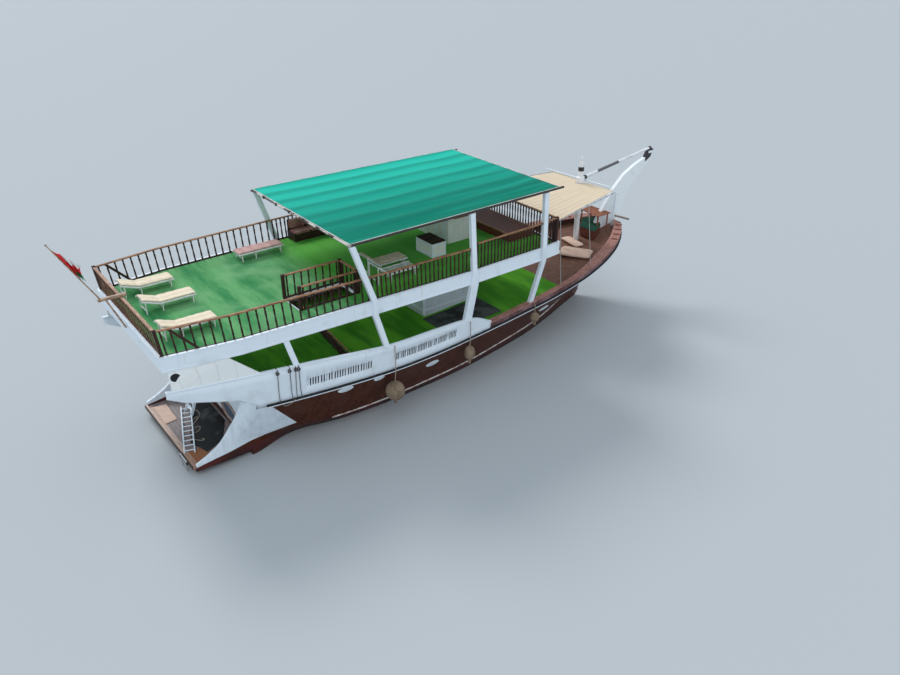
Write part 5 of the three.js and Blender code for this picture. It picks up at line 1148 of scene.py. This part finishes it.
# Engine chest: a white boarded box on the upper deck with a dark lid, battened, on iron hinges.
paint_nodes(board_paint, "chest")
paint_nodes(dark_wood, "chest_lid")
lid_top = 5.6545
chest_bits = [boxes([(x, y, turf_top + 0.28) for x in (-1.85, -1.25) for y in (-1.8, -0.8)],
                    (0.05, 0.05, 0.55)),
              boxes([(-1.55, y, turf_top + z) for y in (-1.81, -0.79) for z in (0.06, 0.50)],
                    (0.60, 0.02, 0.07)),
              boxes([(x, -1.3, turf_top + z) for x in (-1.86, -1.24) for z in (0.06, 0.50)],
                    (0.02, 1.0, 0.07))]
piece("chest_battens", chest_bits, white_paint)
lid_bits = [boxes([(-1.55, y, lid_top + 0.008) for y in (-1.68, -1.3, -0.92)], (0.58, 0.07, 0.02)),
            boxes([(-1.55, -1.825, lid_top - 0.02)], (0.14, 0.03, 0.03))]
piece("chest_lid_battens", lid_bits, dark_wood, body="chest_lid")
strap_bits = [boxes([(x, -0.90, lid_top + 0.003) for x in (-1.75, -1.35)], (0.04, 0.20, 0.006))]
piece("chest_lid_straps", strap_bits, black_paint, body="chest_lid")


# Port bench: a boarded seat and back against the port balustrade, with a row of pinkish-brown
# cushions along the seat and the back.
def cushion(length, width, thick, rows=13, sides=24, crown=0.25):
    """A stuffed slab about the origin: rings of a rounded rectangle along x, drawn in at both ends
    and swelling a little in the middle by crown times its thickness."""
    t = np.linspace(-1, 1, rows)
    end = (1 - np.abs(t) ** 8) ** 0.5 * 0.16 + 0.84
    a = (np.arange(sides) + 0.5) * 2 * np.pi / sides
    px = np.sign(np.cos(a)) * np.abs(np.cos(a)) ** 0.35
    pz = np.sign(np.sin(a)) * np.abs(np.sin(a)) ** 0.55
    swell = 1 + crown * (1 - t[:, None] ** 2) * (1 - px ** 2)
    close = (1 - np.abs(t) ** 12)[:, None] * 0.55 + 0.45
    return closed(np.stack([np.broadcast_to(t[:, None] * length / 2, (rows, sides)),
                            px * end[:, None] * width / 2,
                            pz * swell * close * thick / 2], axis=-1))


bench_out = float(min(upper_half(-5.2), upper_half(-3.0))) - 0.19
bench_bits = [boxes([(-4.1, bench_out - 0.31, turf_top + 0.14)], (2.2, 0.60, 0.28)),
              boxes([(-4.1, bench_out - 0.05, turf_top + 0.42)], (2.2, 0.06, 0.72)),
              boxes([(x, bench_out - 0.31, turf_top + 0.17) for x in (-5.18, -4.1, -3.02)],
                    (0.05, 0.62, 0.34))]
piece("bench_boards", bench_bits, dark_wood, ["port_bench"])


def upholstery(name, one, two, period=0.22, axis="x"):
    """Woven cover in two tones: bands across the piece, creases in relief with painted shade in them, and the
    thread of the cloth.
    """
    finish = Finish(name)
    band = getattr(finish, axis).wrap(period).ramp(0.45, 0.6)
    thread = finish.place.noise(120, 2)
    wrinkle_relief_and_shade = finish.place.noise(4, 4)
    colour = (band * 0.8).mix(one, two)
    # painted shade: the cover is darker in its creases
    colour = (wrinkle_relief_and_shade.ramp(0.5, 0.75) * 0.4).mix(colour, tuple(0.55 * v for v in one))
    return finish.done(colour, thread * 0.1 + 0.8, thread + wrinkle_relief_and_shade * 3, 0.006)


rose_cover = upholstery("rose_cover", (0.30, 0.13, 0.11), (0.42, 0.21, 0.18), 0.5)
seat_places = [(x, bench_out - 0.37, turf_top + 0.345) for x in (-4.83, -4.1, -3.37)]
back_places = [(x, bench_out - 0.125, turf_top + 0.61) for x in (-4.83, -4.1, -3.37)]
seat = piece("bench_seat_cushions", [repeat(cushion(0.70, 0.50, 0.13), seat_places)], rose_cover,
             ["port_bench"], sharp=60)
upright_points, upright_quads = cushion(0.70, 0.36, 0.12)
upright = (upright_points[:, [0, 2, 1]] * (1, -1, 1), upright_quads)
back = piece("bench_back_cushions", [repeat(upright, back_places)], rose_cover, ["port_bench"],
             sharp=60)

# Fore bench: a broad low boxed bench across the forward end of the upper deck. Its seat is laid
# in athwartships planks of red-brown wood, with a paler nosing along the edges that people rub.
fore_bench_x, fore_bench_half, fore_bench_low, fore_bench_top = (1.48, 2.82), 2.40, 5.0495, 5.3990
plank_x = fore_bench_x[0] + 0.06 + (np.arange(8) + 0.5) * 0.1525
red_wood = wood("red_brown_wood", (0.09, 0.022, 0.014), (0.24, 0.075, 0.048), grain=(9, 1, 9), rough=0.45)
seat_planks = boxes([(x, 0, fore_bench_top - 0.022) for x in plank_x],
                    (0.146, 2 * fore_bench_half - 0.12, 0.044))
panel_z = (fore_bench_low + fore_bench_top - 0.045) / 2
skirt = boxes([(2.15, 0, panel_z)], (1.25, 4.70, fore_bench_top - fore_bench_low - 0.045))
studs = boxes([(x, y, panel_z) for x in (1.518, 2.782) for y in np.linspace(-2.3, 2.3, 7)],
              (0.02, 0.06, 0.30))
piece("fore_bench_planks", [seat_planks, skirt, studs], red_wood, ["fore_bench"])
nosing = [boxes([(x, 0, fore_bench_top - 0.02) for x in (1.51, 2.79)], (0.06, 4.80, 0.05)),
          boxes([(2.15, y, fore_bench_top - 0.02) for y in (-2.37, 2.37)], (1.22, 0.06, 0.05))]
piece("fore_bench_nosing", nosing, tan_wood, ["fore_bench"])

# Sun loungers: a white slatted frame on legs with a raised head end and a thin striped mattress.
lounger_long, lounger_half, lounger_seat, back_long = 1.88, 0.32, 0.29, 0.64
hinge_x = lounger_long / 2 - back_long
plastic = weathered("lounger_plastic", 5, 4, (0.45, 0.75), ((0.78, 0.79, 0.78), (0.52, 0.50, 0.46)),
                    (0.2, 0.3), 0.001, Coat_Weight=0.2)


def lounger_line(u, over, back_deg):
    """Points over the lounger's seat line at distance u from its foot, and over above the seat."""
    tilt = np.radians(back_deg)
    past = np.maximum(0, u - (hinge_x + lounger_long / 2))
    flat = np.minimum(u, hinge_x + lounger_long / 2) - lounger_long / 2
    raised = past > 0
    x = flat + past * np.cos(tilt) - np.where(raised, over * np.sin(tilt), 0)
    z = lounger_seat + past * np.sin(tilt) + np.where(raised, over * np.cos(tilt), over)
    return np.stack([x, 0 * u, z], axis=-1)


covers = {"striped": upholstery("striped_cover", (0.92, 0.79, 0.57), (0.46, 0.34, 0.23), 0.13, "y"),
          "cream": upholstery("cream_cover", (0.84, 0.72, 0.54), (0.74, 0.62, 0.46), 0.3, "y"),
          "pink": upholstery("pink_cover", (0.60, 0.36, 0.33), (0.52, 0.30, 0.28), 0.4, "x")}
loungers = [
    # name, x, y, back angle, cover
    ("aft_port", -11.40, 2.00, 20, "cream"), ("aft_mid", -11.25, 0.35, 20, "cream"),
    ("aft_stbd", -11.40, -1.80, 20, "cream"), ("well", -6.90, 2.55, 0, "pink"),
    ("rail", -4.00, -2.30, 40, None), ("awning", -3.85, -1.40, 40, "striped")]
for name, x, y, back_deg, cover in loungers:
    u = np.linspace(0.02, lounger_long - 0.02, 40)
    frame_bits = []
    for s in (-1, 1):
        rail = lounger_line(u, -0.02, back_deg) + (0, s * (lounger_half - 0.025), 0)
        frame_bits.append(sweep(rail, oblong(0.045, 0.06, 0.015)))
    for slat_u in np.arange(0.06, lounger_long - 0.03, 0.095):
        slat = lounger_line(np.array([slat_u, slat_u + 0.06]), -0.012, back_deg)
        middle_point = slat.mean(axis=0)
        tilt = np.arctan2(slat[1, 2] - slat[0, 2], slat[1, 0] - slat[0, 0])
        ends = [middle_point + (0, s * (lounger_half - 0.045), 0) for s in (-1, 1)]
        frame_bits.append(sweep(ends, oblong(0.06, 0.018, 0.005), up=(-np.sin(tilt), 0, np.cos(tilt))))
    for leg_x in (-lounger_long / 2 + 0.15, hinge_x - 0.06, lounger_long / 2 - 0.16):
        reach = max(0, leg_x - hinge_x) * np.tan(np.radians(back_deg))
        for s in (-1, 1):
            leg = [(leg_x, s * (lounger_half - 0.03), 0.0),
                   (leg_x, s * (lounger_half - 0.03), lounger_seat - 0.03 + reach)]
            frame_bits.append(sweep(leg, oblong(0.045, 0.035, 0.01), up=(1, 0, 0)))
        frame_bits.append(sweep([(leg_x, s * (lounger_half - 0.03), 0.12) for s in (-1, 1)],
                                oblong(0.03, 0.03)))
    place = (x, y, turf_top)
    turned_frame = [repeat(bit, [place], 180) for bit in frame_bits]
    piece(f"lounger_{name}_frame", turned_frame, plastic, [f"lounger_{name}"])
    if cover is None:
        continue
    mat_u = np.linspace(0.04, lounger_long - 0.04, 60)
    t = np.linspace(-1, 1, 60)
    puff = 0.020 + 0.018 * np.abs(np.sin(mat_u * np.pi / 0.31)) ** 0.5
    puff *= (1 - np.abs(t) ** 16) * 0.7 + 0.3
    around = (np.arange(20) + 0.5) * 2 * np.pi / 20
    wide = np.sign(np.cos(around)) * np.abs(np.cos(around)) ** 0.35 * (lounger_half - 0.035)
    tall = np.sign(np.sin(around)) * np.abs(np.sin(around)) ** 0.6
    rings = np.stack([lounger_line(mat_u, 0.040 + puff * lift, back_deg) + (0, aside, 0)
                      for aside, lift in zip(wide, tall)], axis=1)
    mat = piece(f"lounger_{name}_mattress", [repeat(closed(rings), [place], 180)], covers[cover],
                [f"lounger_{name}"], sharp=60)

# Fenders: balls of old rope hitched over a core, hung on lanyards from the bulwark and gunwale.
finish = Finish("rope_fender")
tuft = finish.place.noise(30, 4)
damp = finish.place.noise(3, 3)
fender_colour = damp.ramp(0.35, 0.65).mix((0.085, 0.06, 0.04), (0.26, 0.20, 0.14))
fender_rope = finish.done(tuft.ramp(0.35, 0.7).mix(fender_colour, (0.28, 0.20, 0.13)), tuft * 0.1 + 0.85,
                          tuft, 0.012)
fenders = [
    # name, x, z of the middle, radius, half height
    ("aft", -5.00, 1.33, 0.35, 0.37), ("mid", -1.45, 1.62, 0.21, 0.31), ("fore", 2.15, 1.96, 0.19, 0.20)]
for name, x, z_mid, radius, half in fenders:
    y = -max(float(planking(x, z_mid + half * 0.5)) + radius + 0.016, float(sheer_half(x)) + 0.082)
    lat = np.linspace(-1, 1, 41)[:, None] * np.pi / 2 * 0.985
    lon = (np.arange(64) + 0.5)[None] * 2 * np.pi / 64
    hitch = 1 + 0.035 * np.sin(lon * 16 + lat * 14) * np.cos(lat) + 0.02 * np.sin(lat * 22)
    ball = np.stack([x + radius * np.cos(lat) * np.cos(lon) * hitch,
                     y + radius * np.cos(lat) * np.sin(lon) * hitch,
                     z_mid + half * np.sin(lat) * (1 + 0 * lon)], axis=-1)
    on_gunwale = x > -0.3
    top = (float(sheer_z(x)) + 0.2 if on_gunwale else float(bulwark_top(x))) - 0.08
    face = float(sheer_half(x)) if on_gunwale else float(bulwark_out(x, top))
    guard = max(face, float(sheer_half(x)) + 0.05) + 0.022
    lanyard = [(x, y, z_mid + half - 0.03), (x, -guard, float(sheer_z(x)) - 0.03),
               (x, -guard, float(sheer_z(x)) + 0.05), (x, -(face + 0.02), top),
               (x, -(face + 0.015), top + 0.06)]
    tail_profile = np.array([(0.03, 0.07), (-0.03, 0.075), (-0.10, 0.05), (-0.15, 0.06)]) + (z_mid - half, 0)
    tail = turned(circle(1.0, 10), tail_profile, (x, y))
    piece(f"fender_{name}_ball", [closed(ball), tail], fender_rope, [f"fender_{name}"], sharp=80)
    piece(f"fender_{name}_lanyard", [sweep(lanyard, circle(0.016, 8), up=(1, 0, 0))], pale_rope,
          [f"fender_{name}"])
slack_t = np.linspace(0, 1, 16)
slack_x = np.interp(slack_t, (0, 0.4, 0.75, 1), (-9.27, -9.07, -8.87, -8.79))
slack_z = smooth(slack_t, (0, 0.4, 0.75, 1), (2.31, 2.06, 2.17, 2.30))
slack = np.stack([slack_x, -(planking(slack_x, slack_z) + 0.03), slack_z], axis=1)
piece("slack_line", [sweep(slack, circle(0.014, 6), up=(0, 1, 0))], pale_rope)


# Loose gear: a white ladder laid flat across the swim platform with a slack grey rope over the
# mat by it, and a black sheet on the main deck's turf to starboard of the cabin: painted shadow,
# where the cabin's shadow falls.
ladder_ends = np.array([(-11.02, 1.35), (-11.98, -1.50)])
ladder_run = (ladder_ends[1] - ladder_ends[0]) / np.linalg.norm(ladder_ends[1] - ladder_ends[0])
ladder_side = np.array([-ladder_run[1], ladder_run[0]]) * 0.17
ladder_bits = [sweep([(*(end + s * ladder_side), 0.385) for end in ladder_ends],
                     oblong(0.05, 0.06, 0.012)) for s in (-1, 1)]
for t in np.linspace(0.05, 0.95, 10):
    middle_point = ladder_ends[0] + (ladder_ends[1] - ladder_ends[0]) * t
    ladder_bits.append(sweep([(*(middle_point + s * ladder_side), 0.39) for s in (-1, 1)], circle(0.018, 8)))
piece("laid_ladder", ladder_bits, white_paint)
rope_t = np.linspace(0, 1, 140)
rope_path = np.stack([-10.95 - 0.55 * rope_t + 0.22 * np.sin(rope_t * 21),
                      0.75 - 1.6 * rope_t + 0.30 * np.cos(rope_t * 17),
                      0.364 + 0.006 * np.sin(rope_t * 60)], axis=1)
piece("platform_rope", [sweep(rope_path, circle(0.013, 6))], pale_rope)
# painted shadow: a black sheet where the cabin's shadow falls on the turf
shadow_sheet_x = np.linspace(-1.85, 1.0, 12)
shadow_sheet_z = sheer_z(shadow_sheet_x) - deck_drop + 0.0192
deck_shadow_sheet = np.stack([np.stack([shadow_sheet_x, np.full(12, y), shadow_sheet_z + over], axis=1)
                     for y, over in ((-2.62, 0.0), (-2.62, 0.014), (-1.08, 0.014), (-1.08, 0.0))], axis=1)
piece("deck_shadow_sheet", [closed(deck_shadow_sheet)], rubber_and_shadow_paint)

# Main deck benches: a dark wooden bench runs along the inside of each bulwark, so that its back
# shows through the slots, with dark rose cushions on the seat. A dark board stands close behind
# the slots, against the bulwark's ribs: painted shade, so that the slots look as dark as the
# shaded space behind them.
side_x = np.linspace(-8.45, -1.5, 40)
side_bits, side_cushions = [], []
for side in (-1, 1):
    back_y = bulwark_out(side_x, sheer_z(side_x) + 0.42) - 0.17
    back_line = np.stack([side_x, side * back_y, sheer_z(side_x) + 0.42], axis=1)
    side_bits.append(sweep(back_line, oblong(0.03, 0.54)))
    # painted shade: a dark board just behind the slots
    side_bits.append(sweep(back_line + (0, side * 0.114, 0.065), oblong(0.02, 0.40)))
    side_bits.append(sweep(back_line + (0, -side * 0.235, -0.10), oblong(0.42, 0.04, 0.01)))
    legs = back_line[2::6] + (0, -side * 0.41, 0)
    legs[:, 2] = sheer_z(legs[:, 0]) + 0.105
    side_bits.append(boxes(legs, (0.05, 0.05, 0.40)))
    for x in (-7.8, -6.85, -2.9, -1.95):
        y, z = side * (float(np.interp(x, side_x, back_y)) - 0.24), float(sheer_z(x)) + 0.395
        side_cushions.append(repeat(cushion(0.90, 0.40, 0.11), [(x, y, z)]))
piece("main_deck_benches", side_bits, dark_wood)
dark_rose = upholstery("dark_rose_cover", (0.22, 0.075, 0.07), (0.30, 0.12, 0.11), 0.45)
piece("main_deck_cushions", side_cushions, dark_rose, sharp=60)

# Bow furniture: a slatted bench of orange-brown wood on legs, a dark green mat on a low locker
# under it, and two cream mattresses on the planks abaft. All stand loose on the fore deck.
orange_wood = wood("orange_brown_wood", (0.24, 0.065, 0.028), (0.46, 0.17, 0.08), grain=(9, 1, 9), rough=0.45)
slats_z, locker_z = 4.0, 3.46
bench_slats = [boxes([(x, 0.17, slats_z - 0.015) for x in np.linspace(8.87, 9.60, 6)], (0.10, 1.26, 0.03)),
               boxes([(9.235, y, slats_z - 0.055) for y in (-0.35, 0.17, 0.69)], (0.82, 0.05, 0.05)),
               boxes([(x, y, slats_z - 0.40) for x in (8.9, 9.55) for y in (-0.35, 0.69)],
                     (0.05, 0.05, 0.76))]
piece("bow_bench_slats", bench_slats, orange_wood)
locker_plan = np.array([(8.22, -0.82), (9.06, -0.40), (9.62, 0.20), (9.60, 0.80), (9.10, 0.84), (8.20, 0.10)])
shelf_plan = locker_plan.mean(axis=0) + (locker_plan - locker_plan.mean(axis=0)) * 0.97
piece("bow_locker", [turned(shelf_plan, ((3.04, 1), (locker_z, 1)))], red_wood)
mat_green = turf("bow_mat", 0.1, (0.004, 0.035, 0.02), (0.01, 0.07, 0.04))
piece("bow_mat", [turned(locker_plan, ((locker_z, 1), (locker_z + 0.02, 1)))], mat_green)
pale_cover = upholstery("pale_cover", (0.74, 0.54, 0.43), (0.70, 0.46, 0.36), 0.6)
mattresses = [repeat(cushion(1.20, 0.50, 0.11, crown=0.1), [(7.50, -0.13, 2.95)], 80),
              repeat(cushion(1.45, 0.98, 0.13, crown=0.1), [(6.80, -1.05, 2.88)], -60)]
piece("bow_mattresses", mattresses, pale_cover, sharp=60)
